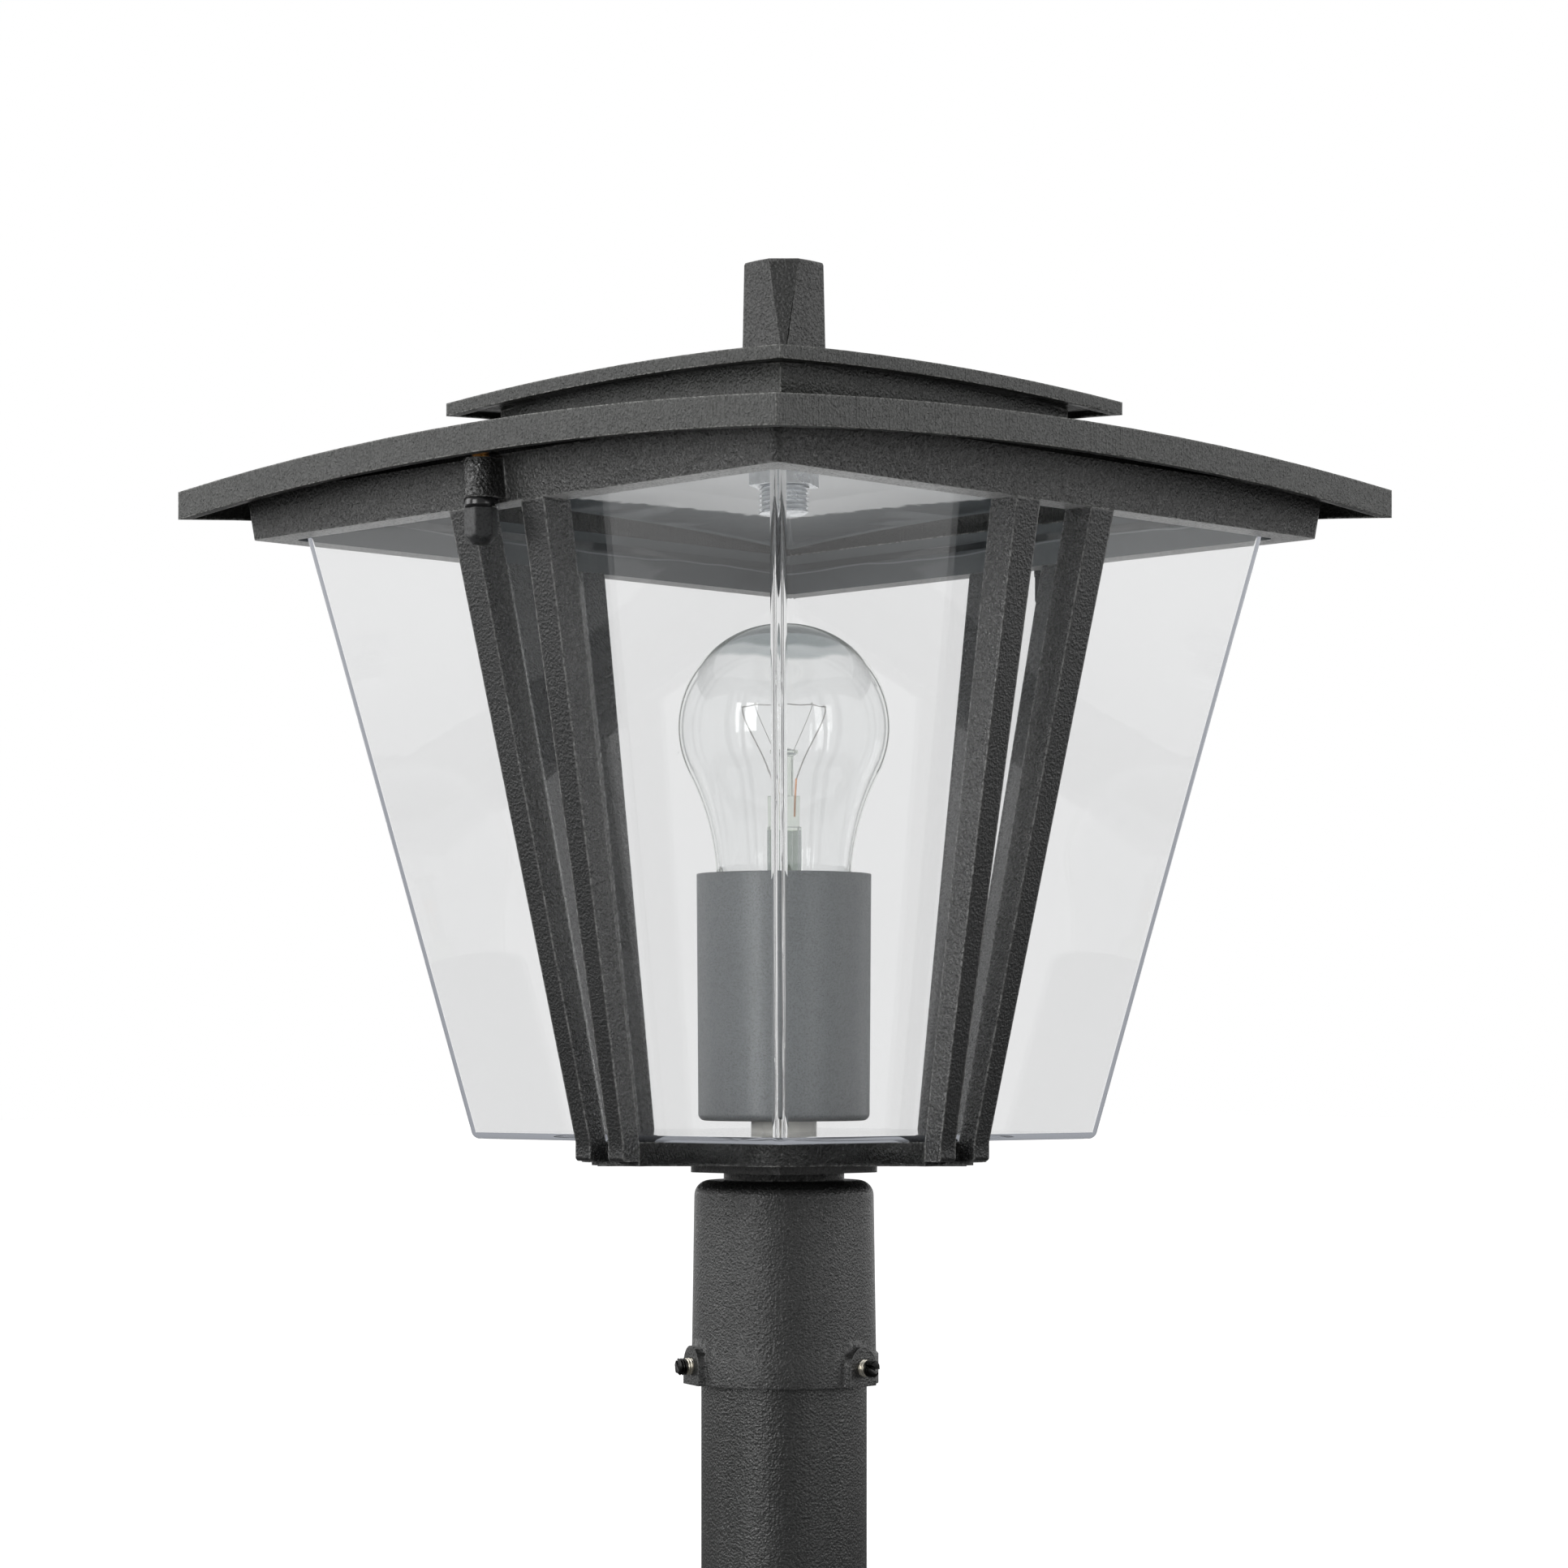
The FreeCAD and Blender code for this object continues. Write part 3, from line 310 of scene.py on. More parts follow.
clear_waves, wave_in, wave_out = new_group(
    "clear waves", [("Wave Scale", FLOAT, 45.0), ("Dust Scale", FLOAT, 130.0)],
    [("Height", FLOAT)])
place = object_place(clear_waves)
waves = noise(clear_waves, place, Scale=wave_in.outputs["Wave Scale"], Detail=1.0)
dust_cells = cells(clear_waves, place, Scale=wave_in.outputs["Dust Scale"])
dust = times(clear_waves, rare_dots(clear_waves, dust_cells, 0.02, 0.05, DUST_SHARE), DUST_HEIGHT)
feed(clear_waves, wave_out, Height=plus(clear_waves, waves, dust))
print("group:", clear_waves.name)

# %% [markdown]
# ## Finishes
# Every material starts the same way, with a Principled shader and its plain numbers. What
# changes over the surface is then fed to its colour, roughness and normal.

# %% Start a material
def new_finish(name, **plain):
    """A material with one Principled shader; plain values go on the shader's own sockets."""
    material = bpy.data.materials.new(name)
    material.use_nodes = True
    tree = material.node_tree
    return material, tree, feed(tree, tree.nodes["Principled BSDF"], **plain)


def place_group(tree, group, **values):
    return feed(tree, add_node(tree, "ShaderNodeGroup", node_tree=group), **values)


def add_bump(tree, shader, height, depth, **more):
    """Feeds the shader's normal from a height; depth is what a height of 1 stands for."""
    bump = feed(tree, add_node(tree, "ShaderNodeBump"), Height=height, Distance=depth, **more)
    join(tree, bump.outputs[0], shader.inputs["Normal"])


print("finish helpers ready")

# %% [markdown]
# ### Coated metal
# One function makes all the coated metals, because they differ only in grain, colour and how
# much their edges show. Some also take the upright streaks of the rims and the post.

# %% Powder coat
# The hollows between the wrinkles get a painted shade, darker than the coat itself.
PAINTED_HOLLOW_SHADE = 0.30     # colour between the wrinkles, as a share of the dark tone
STREAK_TONE = 2.0      # colour of a streak, as a multiple of the light tone
# Bright specks: partly real specks of powder, partly painted glints.
SPECK_GLINT_COLOUR = (0.32, 0.33, 0.31)
SPECK_GLINT_STRENGTH = 0.5
EDGE_WEAR_AND_HIGHLIGHT_STRENGTH = 0.8


def powder_coat(name, dark, light, grain_scale, grain_depth, edge_wear_and_highlight_colour, rough, gloss=0.5,
                streaks=0.0, speck_share=0.06, edge_radius=1.0 * MM):
    """A coat whose colour drifts from dark to light over a grain of the given depth."""
    material, tree, shader = new_finish(name, Specular_IOR_Level=gloss)
    grain = place_group(tree, coat_grain, Scale=grain_scale, Speck_Share=speck_share).outputs
    edges = place_group(tree, edge_wear_and_highlight, Radius=edge_radius).outputs
    height = grain["Height"]
    colour = colour_mix(tree, stepped(tree, grain["Tone"], 0.35, 0.65), dark, light)
    # Painted shade in the wrinkles' hollows.
    hollow_shade = stepped(tree, height, 0.30, 0.55, 0.75, 0.0)
    colour = colour_mix(tree, hollow_shade, colour, tuple(PAINTED_HOLLOW_SHADE * c for c in dark))
    if streaks:
        streak = place_group(tree, upright_streaks).outputs["Streak"]
        streak_share = stepped(tree, streak, 0.50, 0.78, 0.0, streaks)
        colour = colour_mix(tree, streak_share, colour, tuple(STREAK_TONE * c for c in light))
        height = plus(tree, height, times(tree, streak, streaks))
    # Specks with a painted glint.
    speck_glints = times(tree, grain["Speck"], SPECK_GLINT_STRENGTH)
    colour = colour_mix(tree, speck_glints, colour, SPECK_GLINT_COLOUR)
    # Edges get their wear and a painted highlight.
    colour = colour_mix(tree, times(tree, edges["Edge"], EDGE_WEAR_AND_HIGHLIGHT_STRENGTH), colour, edge_wear_and_highlight_colour)
    feed(tree, shader, Base_Color=colour,
         Roughness=stepped(tree, height, 0.25, 0.75, rough + 0.10, rough - 0.06))
    add_bump(tree, shader, height, grain_depth, Normal=edges["Soft Normal"])
    print("coat:", name)
    return material



# %% [markdown]
# The frame is dark and even. Its stiles have fine, flat outer faces and coarse, glossy sides;
# the outer faces are painted darker, a painted shade, and the sides lighter, a painted light.
# Its bosses are the most speckled, with the most painted glints, and the ring's underside is a
# pale strip of painted light, as if lit from the floor below. The base and the socket's neck
# carry a painted shade. The roof's rims and the post carry streaks, and the socket's grain is
# close and shallow. The lamp holder's sleeve is a plain satin grey.

# %% Coats of the pieces
frame_paint = powder_coat(
    "frame paint", dark=(0.023, 0.0235, 0.0225), light=(0.032, 0.0325, 0.031),
    grain_scale=1400.0, grain_depth=0.0007, edge_wear_and_highlight_colour=(0.50, 0.50, 0.49), rough=0.35, gloss=0.52)
# Outer faces of the stiles: painted darker, a painted shade.
stile_face_painted_shade = powder_coat(
    "stile face painted shade", dark=(0.013, 0.0135, 0.0135), light=(0.018, 0.0185, 0.0185),
    grain_scale=1500.0, grain_depth=0.0003, edge_wear_and_highlight_colour=(0.46, 0.46, 0.45), rough=0.36, gloss=0.40)
# Sides of the stiles: painted lighter, a painted light.
stile_side_painted_light = powder_coat(
    "stile side painted light", dark=(0.040, 0.0405, 0.0405), light=(0.060, 0.0605, 0.060),
    grain_scale=1300.0, grain_depth=0.0008, edge_wear_and_highlight_colour=(0.55, 0.55, 0.54), rough=0.26, gloss=0.9,
    speck_share=0.16)
# The base is painted darker than the frame, a painted shade for where it lies in shadow under the
# lantern.
base_painted_shade = powder_coat(
    "base painted shade", dark=(0.010, 0.0105, 0.010), light=(0.015, 0.0155, 0.015),
    grain_scale=1400.0, grain_depth=0.0006, edge_wear_and_highlight_colour=(0.34, 0.34, 0.33), rough=0.30, gloss=0.35)
boss_paint = powder_coat(
    "boss paint", dark=(0.008, 0.008, 0.0075), light=(0.012, 0.012, 0.011),
    grain_scale=1250.0, grain_depth=0.0008, edge_wear_and_highlight_colour=(0.30, 0.30, 0.29), rough=0.20, gloss=0.6,
    speck_share=0.15)
# The ring's underside: a pale painted light, as if lit from the floor below.
underside_painted_light = powder_coat(
    "underside painted light", dark=(0.62, 0.62, 0.61), light=(0.80, 0.80, 0.79),
    grain_scale=1500.0, grain_depth=0.0003, edge_wear_and_highlight_colour=(0.80, 0.80, 0.79), rough=0.32,
    speck_share=0.0)
roof_paint = powder_coat(
    "roof paint", dark=(0.013, 0.0145, 0.0125), light=(0.019, 0.0205, 0.0175),
    grain_scale=1500.0, grain_depth=0.0004, edge_wear_and_highlight_colour=(0.55, 0.55, 0.53), rough=0.38, gloss=0.36,
    streaks=0.45, speck_share=0.10)
socket_paint = powder_coat(
    "socket paint", dark=(0.024, 0.0245, 0.024), light=(0.036, 0.0365, 0.036),
    grain_scale=1650.0, grain_depth=0.00035, edge_wear_and_highlight_colour=(0.26, 0.26, 0.26), rough=0.31,
    gloss=0.55, edge_radius=0.4 * MM)
post_paint = powder_coat(
    "post paint", dark=(0.022, 0.0225, 0.022), light=(0.032, 0.0325, 0.032),
    grain_scale=1650.0, grain_depth=0.0003, edge_wear_and_highlight_colour=(0.24, 0.24, 0.24), rough=0.31,
    gloss=0.55, streaks=0.30)
nut_paint = powder_coat(
    "nut paint", dark=(0.024, 0.025, 0.026), light=(0.034, 0.035, 0.036),
    grain_scale=1700.0, grain_depth=0.00005, edge_wear_and_highlight_colour=(0.16, 0.16, 0.16), rough=0.48,
    gloss=0.35, speck_share=0.02)
sleeve_coat = powder_coat(
    "sleeve coat", dark=(0.090, 0.099, 0.104), light=(0.099, 0.109, 0.114),
    grain_scale=2400.0, grain_depth=0.000012, edge_wear_and_highlight_colour=(0.16, 0.17, 0.17), rough=0.36,
    speck_share=0.0)
print("frame, roof, post and holder are coated")

# %% [markdown]
# ### Inside of the roof
# Under the roof the coat is smoother. The level ceiling shows as a light, satin square: its light
# tone is a painted light, for a surface that faces the bright floor below. The slopes round it are
# a dark blue grey. The border between them isn't sharp, so a little noise is added to the
# distance from the middle before the two tones are mixed. Two thin pale lines run round the
# slopes, at heights that waver a little.

# %% Ceiling paint
# The level ceiling's light tone is a painted light, for a surface lit from the floor below.
LEVEL_PAINTED_LIGHT = (0.90, 0.91, 0.91)
SLOPE_TONE = (0.095, 0.108, 0.115)
LINE_TONE = (0.42, 0.45, 0.46)
border_inner, border_outer = 0.0855, 0.0885
border_bow = 0.18            # draws the square's corners in, so that its sides bulge
border_raggedness = 0.006
line_heights = (0.3170, 0.3135)
line_waver = 0.005

ceiling_painted_light, ceiling_tree, ceiling_shader = new_finish("ceiling painted light")
place = object_place(ceiling_tree)
axes = split_axes(ceiling_tree, place)
across = math_node(ceiling_tree, "ABSOLUTE", axes[0])
along = math_node(ceiling_tree, "ABSOLUTE", axes[1])
outward = math_node(ceiling_tree, "MAXIMUM", across, along)
sideways = math_node(ceiling_tree, "MINIMUM", across, along)
bowed = plus(ceiling_tree, outward, times(ceiling_tree, sideways, border_bow))
ragged = noise(ceiling_tree, place, Scale=260.0, Detail=3.0)
from_middle = plus(ceiling_tree, bowed, times(ceiling_tree, ragged, border_raggedness))
slope_share = stepped(ceiling_tree, from_middle, border_inner, border_outer)
ceiling_colour = colour_mix(ceiling_tree, slope_share, LEVEL_PAINTED_LIGHT, SLOPE_TONE)
waver = noise(ceiling_tree, place, Scale=22.0)
wavering = plus(ceiling_tree, axes[2], times(ceiling_tree, waver, line_waver))
for line_height in line_heights:
    above_line = math_node(ceiling_tree, "SUBTRACT", wavering, line_height)
    off_line = math_node(ceiling_tree, "ABSOLUTE", above_line)
    on_line = stepped(ceiling_tree, off_line, 0.1 * MM, 0.4 * MM, 0.6, 0.0)
    line_share = times(ceiling_tree, slope_share, on_line)
    ceiling_colour = colour_mix(ceiling_tree, line_share, ceiling_colour, LINE_TONE)
feed(ceiling_tree, ceiling_shader, Base_Color=ceiling_colour,
     Roughness=stepped(ceiling_tree, ragged, 0.3, 0.7, 0.36, 0.42))
add_bump(ceiling_tree, ceiling_shader, ragged, 0.000003)
print("inside of the roof:", ceiling_painted_light.name)

# %% [markdown]
# ### Clear plastic and lamp glass
# Both are solid walls with two faces, so real refraction bends and darkens what is seen along
# them, as at the box's corners. Lamps can't reach through refracting walls cheaply, so for
# shadow rays only the wall is transparent, and what stands inside is lit as it should be.
# Light that has bounced along inside a wall leaves its edges as a pale line, so rays that have
# turned that often end in a plain glow. The top of the lamp's dome carries a painted grey
# reflection of the dark roof above it.

# %% Clear finishes
MIRRORED_OFTEN = 2.5         # reflections after which light counts as trapped in a wall
TURNED_OFTEN = 9.5           # the same for reflections and passages together
# A painted dark reflection of the roof, on top of the lamp's dome.
DARK_REFLECTION_TONE = (0.54, 0.575, 0.58)
dark_reflection_unevenness = 0.004
dark_reflection_fade = 0.0012


def clear_finish(name, tint, shade, ior, wave_depth, wave_scale, dark_reflection_from=None,
                 edge_glow=(0.72, 0.75, 0.71)):
    """A clear wall; shade colours its shadow, and the dome's painted dark reflection starts at the
    height given for it.
    """
    material, tree, shader = new_finish(name, Base_Color=(*tint, 1.0), Roughness=0.0, IOR=ior,
                                        Transmission_Weight=1.0)
    wave_height = place_group(tree, clear_waves, Wave_Scale=wave_scale).outputs["Height"]
    add_bump(tree, shader, wave_height, wave_depth)
    # The dome's top gets the painted dark reflection.
    if dark_reflection_from:
        uneven = plus(tree, split_axes(tree, object_place(tree))[2],
                      times(tree, wave_height, dark_reflection_unevenness))
        dark_reflection = stepped(tree, uneven, dark_reflection_from, dark_reflection_from + dark_reflection_fade)
        feed(tree, shader, Base_Color=colour_mix(tree, dark_reflection, tint, DARK_REFLECTION_TONE))
    rays = add_node(tree, "ShaderNodeLightPath").outputs
    through = feed(tree, add_node(tree, "ShaderNodeBsdfTransparent"), Color=(*shade, 1.0))
    trapped = feed(tree, add_node(tree, "ShaderNodeEmission"), Color=(*edge_glow, 1.0))
    wall = shader_mix(tree, rays["Is Shadow Ray"], shader.outputs[0], through.outputs[0])
    mirrored = math_node(tree, "GREATER_THAN", rays["Glossy Depth"], MIRRORED_OFTEN)
    turned = math_node(tree, "GREATER_THAN", rays["Ray Depth"], TURNED_OFTEN)
    ending = shader_mix(tree, math_node(tree, "MAXIMUM", mirrored, turned), wall,
                        trapped.outputs[0])
    join(tree, ending, tree.nodes["Material Output"].inputs["Surface"])
    material.cycles.emission_sampling = "NONE"
    return material


clear_plastic = clear_finish(
    "clear plastic", tint=(0.905, 0.907, 0.909), shade=(0.95, 0.95, 0.95), ior=1.49,
    wave_depth=0.00001, wave_scale=30.0, edge_glow=(0.36, 0.375, 0.41))
bulb_glass = clear_finish(
    "bulb glass", tint=(0.975, 0.980, 0.978), shade=(0.97, 0.97, 0.97), ior=1.50,
    wave_depth=0.00004, wave_scale=60.0, dark_reflection_from=0.2735)
stem_glass = clear_finish(
    "stem glass", tint=(0.80, 0.84, 0.78), shade=(0.90, 0.91, 0.89), ior=1.52,
    wave_depth=0.00006, wave_scale=160.0)
print("clear:", clear_plastic.name, bulb_glass.name, stem_glass.name)

# %% [markdown]
# ### Bare metals, rubber and mouldings
# The hardware is small, so its finishes are simple: a metal with a slightly uneven roughness,
# rubber with a soft sheen, and the pale moulding of the lamp holder.

# %% Small finishes
def bare_metal(name, clean, dull, rough):
    """Metal whose colour and roughness drift between a clean and a dull tone."""
    material, tree, shader = new_finish(name, Metallic=1.0)
    drift = noise(tree, object_place(tree), Scale=320.0, Detail=4.0)
    dull_share = stepped(tree, drift, 0.35, 0.75, 0.0, 0.5)
    feed(tree, shader, Base_Color=colour_mix(tree, dull_share, clean, dull),
         Roughness=stepped(tree, drift, 0.3, 0.7, rough, rough + 0.18))
    add_bump(tree, shader, drift, 0.00001)
    return material


def moulded(name, colour, shade, rough, scale, depth, **plain):
    """Rubber or plastic: a fine moulded skin with slow colour drift."""
    material, tree, shader = new_finish(name, **plain)
    skin = noise(tree, object_place(tree), Scale=scale, Detail=3.0)
    feed(tree, shader, Base_Color=colour_mix(tree, skin, colour, shade),
         Roughness=stepped(tree, skin, 0.3, 0.7, rough, rough + 0.12))
    add_bump(tree, shader, skin, depth)
    return material


zinc = bare_metal("zinc plate", (0.78, 0.80, 0.82), (0.50, 0.52, 0.53), 0.22)
screw_metal = bare_metal("screw steel", (0.86, 0.82, 0.72), (0.34, 0.31, 0.26), 0.22)
brass = bare_metal("stud brass", (0.80, 0.52, 0.24), (0.42, 0.25, 0.11), 0.25)
contact_metal = bare_metal("contact metal", (0.82, 0.68, 0.36), (0.55, 0.44, 0.22), 0.25)
cap_metal = bare_metal("cap metal", (0.82, 0.82, 0.80), (0.60, 0.60, 0.58), 0.28)
wire_metal = bare_metal("wire metal", (0.42, 0.41, 0.40), (0.16, 0.16, 0.16), 0.30)
copper = bare_metal("copper wire", (0.72, 0.40, 0.26), (0.36, 0.20, 0.13), 0.30)
washer_rubber = moulded("washer rubber", (0.006, 0.006, 0.0065), (0.010, 0.010, 0.011),
                        rough=0.16, scale=500.0, depth=0.000006)
seal_rubber = moulded("seal rubber", (0.100, 0.112, 0.118), (0.125, 0.138, 0.145),
                      rough=0.45, scale=700.0, depth=0.00002)
holder_white = moulded("holder moulding", (0.94, 0.93, 0.86), (0.97, 0.96, 0.91),
                       rough=0.25, scale=120.0, depth=0.00001, Coat_Weight=0.2)
insulator = moulded("cap insulator", (0.012, 0.010, 0.014), (0.020, 0.016, 0.022),
                    rough=0.12, scale=300.0, depth=0.00001)
print("small finishes ready")

# %% [markdown]
# The set screws are blackened, but their threads have been scraped bright where they pass
# through the pads. The distance from the post's axis tells the two parts of a screw apart.

# %% Blackened screw ends
BLACKENED = (0.025, 0.025, 0.025)
bright_up_to, black_beyond = 0.0303, 0.0307

screw_tree = screw_metal.node_tree
screw_colour = screw_tree.nodes["Principled BSDF"].inputs["Base Color"]
level_part = add_node(screw_tree, "ShaderNodeVectorMath", operation="MULTIPLY")
join(screw_tree, object_place(screw_tree), level_part.inputs[0])
level_part.inputs[1].default_value = (1.0, 1.0, 0.0)
from_axis = add_node(screw_tree, "ShaderNodeVectorMath", operation="LENGTH")
join(screw_tree, level_part.outputs[0], from_axis.inputs[0])
bright_metal = screw_colour.links[0].from_socket
black_share = stepped(screw_tree, from_axis.outputs["Value"], bright_up_to, black_beyond)
join(screw_tree, colour_mix(screw_tree, black_share, bright_metal, BLACKENED), screw_colour)
print("screws are black beyond", black_beyond / MM, "mm from the axis")

# %% [markdown]
# ## Dressing the CAD pieces
# A CAD node arrives as loose triangles with hard facets. A copy of it is merged, its flat
# triangles are joined again, and it is shaded smooth up to its real corners. Simple castings
# also get their long edges bevelled, so that they catch the light as cast edges do. The copy
# then stands for the node.

# %% Smooth copies
SAME_POINT = 0.004 * MM
SAME_PLANE = math.radians(0.3)


def body_of_node(node):
    bodies = frame["record"]["behaviour"]["bodies"]
    return next(body for body, members in bodies.items() if node in members)


def as_object(name, bm, material, smooth_up_to=32.0, flat_above=None):
    """Writes a bmesh to a new object, shaded smooth up to an angle.

    Faces larger than flat_above, in square metres, stay flat, so that a small rounding beside
    them doesn't bend what they reflect."""
    mesh = bpy.data.meshes.new(name)
    bm.to_mesh(mesh)
    bm.free()
    mesh.set_sharp_from_angle(angle=math.radians(smooth_up_to))
    for face in mesh.polygons:
        face.use_smooth = flat_above is None or face.area < flat_above
    mesh.materials.append(material)
    made = bpy.data.objects.new(name, mesh)
    bpy.context.scene.collection.objects.link(made)
    return made


def stands_for(piece, node):
    """The piece rides where the CAD node rides and takes its place in the picture."""
    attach(piece, body_of_node(node))
    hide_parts(node)


def dress(node, material, slot, bevel=0.0, corner=35.0, flat_above=None, clamp=True):
    """A merged, smooth copy of a CAD node; bevel rounds the edges that turn past corner."""
    bm = bmesh.new()
    bm.from_mesh(frame["nodes"][node].data)
    bmesh.ops.remove_doubles(bm, verts=bm.verts, dist=SAME_POINT)
    bmesh.ops.dissolve_limit(bm, angle_limit=SAME_PLANE, verts=bm.verts, edges=bm.edges)
    if bevel:
        hard = [edge for edge in bm.edges if edge.is_manifold
                and edge.calc_face_angle(0.0) > math.radians(corner)
                and edge.calc_length() > 4 * bevel]
        bmesh.ops.bevel(bm, geom=hard, offset=bevel, segments=2, profile=0.5, affect="EDGES",
                        clamp_overlap=clamp, material=-1)
    piece = as_object(node + "_dressed", bm, material, flat_above=flat_above)
    if flat_above is None:
        piece.modifiers.new("true flats", "WEIGHTED_NORMAL").keep_sharp = True
    stands_for(piece, node)
    return piece


node_slot = {row["node"]: row["material_slot"] for row in frame["record"]["subparts"]}
print("nodes with a finish:", len(node_slot))

# %% [markdown]
# The stiles, the finial and the nuts are plain solids with long straight edges, so those edges
# are really bevelled. The finial's bevel leaves out the gentler edges of its corner cuts. The
# larger castings keep their CAD edges, and the coat's soft normal rounds them in the shader.

# %% Castings and covers
PANE_AREA = 0.0004           # faces of the clear box larger than this are its flat panes
slot_finish = {"frame_paint": frame_paint, "roof_paint": roof_paint, "socket_paint": socket_paint,
               "post_paint": post_paint, "nut_paint": nut_paint, "clear_plastic": clear_plastic,
               "seal_rubber": seal_rubber, "washer_rubber": washer_rubber, "stud_brass": brass,
               "zinc_steel": zinc, "screw_steel": screw_metal, "sleeve_coat": sleeve_coat,
               "holder_white": holder_white, "contact_metal": contact_metal,
               "lamp_glass": bulb_glass, "lamp_metal": cap_metal, "insulator_glass": insulator,
               "wire_metal": wire_metal}
stiles = [node for node in node_slot if node.startswith("stile_")]
bevels = {"finial": 0.9 * MM, "cap_nut_front": 0.2 * MM, "cap_nut_back": 0.2 * MM,
          "stem_nut": 0.3 * MM, "nipple_locknut": 0.3 * MM, "glass_stem": 0.5 * MM,
          **{node: 0.45 * MM for node in stiles}}
own_pieces = {"finial_stem", "roof_studs", "set_screw_1", "set_screw_2", "set_screw_3", "filament",
              "lead_wires", "support_wires", "nut_washer_front", "nut_washer_back",
              "holder_nipple"}
special = {"enclosure": {"flat_above": PANE_AREA}, "finial": {"corner": 60.0, "clamp": False}}
dressed = {}
for node, slot in node_slot.items():
    if node not in own_pieces:
        dressed[node] = dress(node, slot_finish[slot], slot, bevel=bevels.get(node, 0.0),
                              **special.get(node, {}))
        print("dressed", node, len(dressed[node].data.polygons), "faces")

# %% [markdown]
# Some castings have more than one finish. The roof and the ring are smoother inside, where the
# level ceiling has a painted light, the ring has a painted light on its underside and its
# speckled bosses, the stiles' outer faces are finer than their sides and take a painted shade
# while the sides take a painted light, and the socket's neck takes the base's painted shade, as
# dark as the base above it.

# %% Faces with a finish of their own
def add_finish(piece, material, chosen):
    """Puts a further material on the faces for which chosen gives true."""
    piece.data.materials.append(material)
    faces = [face for face in piece.data.polygons if chosen(face)]
    for face in faces:
        face.material_index = len(piece.data.materials) - 1
    print(material.name, "on", len(faces), "faces of", piece.name)


ring_low, ring_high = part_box("frame_ring")
inner_reach = ring_high.x - 5 * MM
boss_reach = ring_high.x + 0.6 * MM
lip_top = ring_low.z + 0.5 * MM
neck_low, neck_high = 116.5 * MM, 120.5 * MM


def on_ceiling(face):
    reach = max(abs(face.center.x), abs(face.center.y))
    return reach < inner_reach and face.normal.z < -0.5


def inside_ring(face):
    reach = max(abs(face.center.x), abs(face.center.y))
    return reach < inner_reach and face.normal.xy.dot(face.center.xy) < -0.02


def on_lip(face):
    return face.normal.z < -0.9 and face.center.z < lip_top


# The level ceiling takes its painted light.
add_finish(dressed["main_roof"], ceiling_painted_light, on_ceiling)
add_finish(dressed["frame_ring"], ceiling_painted_light, inside_ring)
# Painted light on the ring's underside.
add_finish(dressed["frame_ring"], underside_painted_light, on_lip)
add_finish(dressed["frame_ring"], boss_paint,
           lambda face: abs(face.center.y) > boss_reach and not on_lip(face))
# The socket's neck and the base casting take the base's painted shade.
add_finish(dressed["post_socket"], base_painted_shade,
           lambda face: neck_low < face.center.z < neck_high)
dressed["glass_stem"].data.materials[0] = stem_glass
dressed["base_casting"].data.materials[0] = base_painted_shade
for node in stiles:
    low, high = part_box(node)
    middle = (low + high) / 2
    outward = Vector((math.copysign(1, middle.x), 0, 0))
    if abs(middle.y) > abs(middle.x):
        outward = Vector((0, math.copysign(1, middle.y), 0))
    # Stile sides take a painted light, outer faces a painted shade.
    dressed[node].data.materials[0] = stile_side_painted_light
    add_finish(dressed[node], stile_face_painted_shade, lambda face: face.normal.dot(outward) > 0.7)

# %% [markdown]
# ## Threads
# The rods are threaded, and the one that hangs under the roof shows its thread against the
# light. A thread is one tooth's outline, spun round the axis while it climbs one pitch per turn.
# The long spring that this makes is then cut flat at both ends and closed.

# %% Thread helpers
CREST_FROM, CREST_TO = 0.42, 0.58      # the tooth's flat top, in shares of a pitch
ROD_CORNER = 25.0                      # rods are shaded smooth up to this angle
AT_HEIGHT = 0.000001
ON_CUT = 0.0000001


def thread(bm, radius, depth, pitch, low, high, steps):
    """Adds a threaded rod along Z, between two heights, to a bmesh."""
    turns = math.ceil((high - low) / pitch) + 2
    start = low - pitch
    outline = [bm.verts.new((radius - depth, 0, start)),
               bm.verts.new((radius, 0, start + CREST_FROM * pitch)),
               bm.verts.new((radius, 0, start + CREST_TO * pitch)),
               bm.verts.new((radius - depth, 0, start + pitch))]
    sides = [bm.edges.new(pair) for pair in zip(outline, outline[1:])]
    bmesh.ops.spin(bm, geom=outline + sides, cent=(0, 0, 0), axis=(0, 0, 1),
                   dvec=(0, 0, pitch / steps), angle=math.tau * turns, steps=steps * turns)
    bmesh.ops.remove_doubles(bm, verts=bm.verts, dist=pitch / 100)
    for height, inner, outer in ((low, True, False), (high, False, True)):
        everything = bm.verts[:] + bm.edges[:] + bm.faces[:]
        bmesh.ops.bisect_plane(bm, geom=everything, plane_co=(0, 0, height), plane_no=(0, 0, 1),
                               clear_inner=inner, clear_outer=outer, dist=ON_CUT)
        rim = [edge for edge in bm.edges if edge.is_boundary
               and all(abs(vert.co.z - height) < AT_HEIGHT for vert in edge.verts)]
        bmesh.ops.holes_fill(bm, edges=rim, sides=0)
    bmesh.ops.recalc_face_normals(bm, faces=bm.faces)


def taper_end(bm, height, share):
    """Draws the vertices of one end in towards the axis, as a chamfer does."""
    end = [vert for vert in bm.verts if abs(vert.co.z - height) < AT_HEIGHT]
    bmesh.ops.scale(bm, vec=(share, share, 1.0), verts=end)


print("thread helpers ready")

# %% [markdown]
# The finial's stem has a pipe thread of 19 turns to the inch. The studs and the nipple have
# finer ones. Both studs are one node, so the second is a copy, and each moves to its own side.

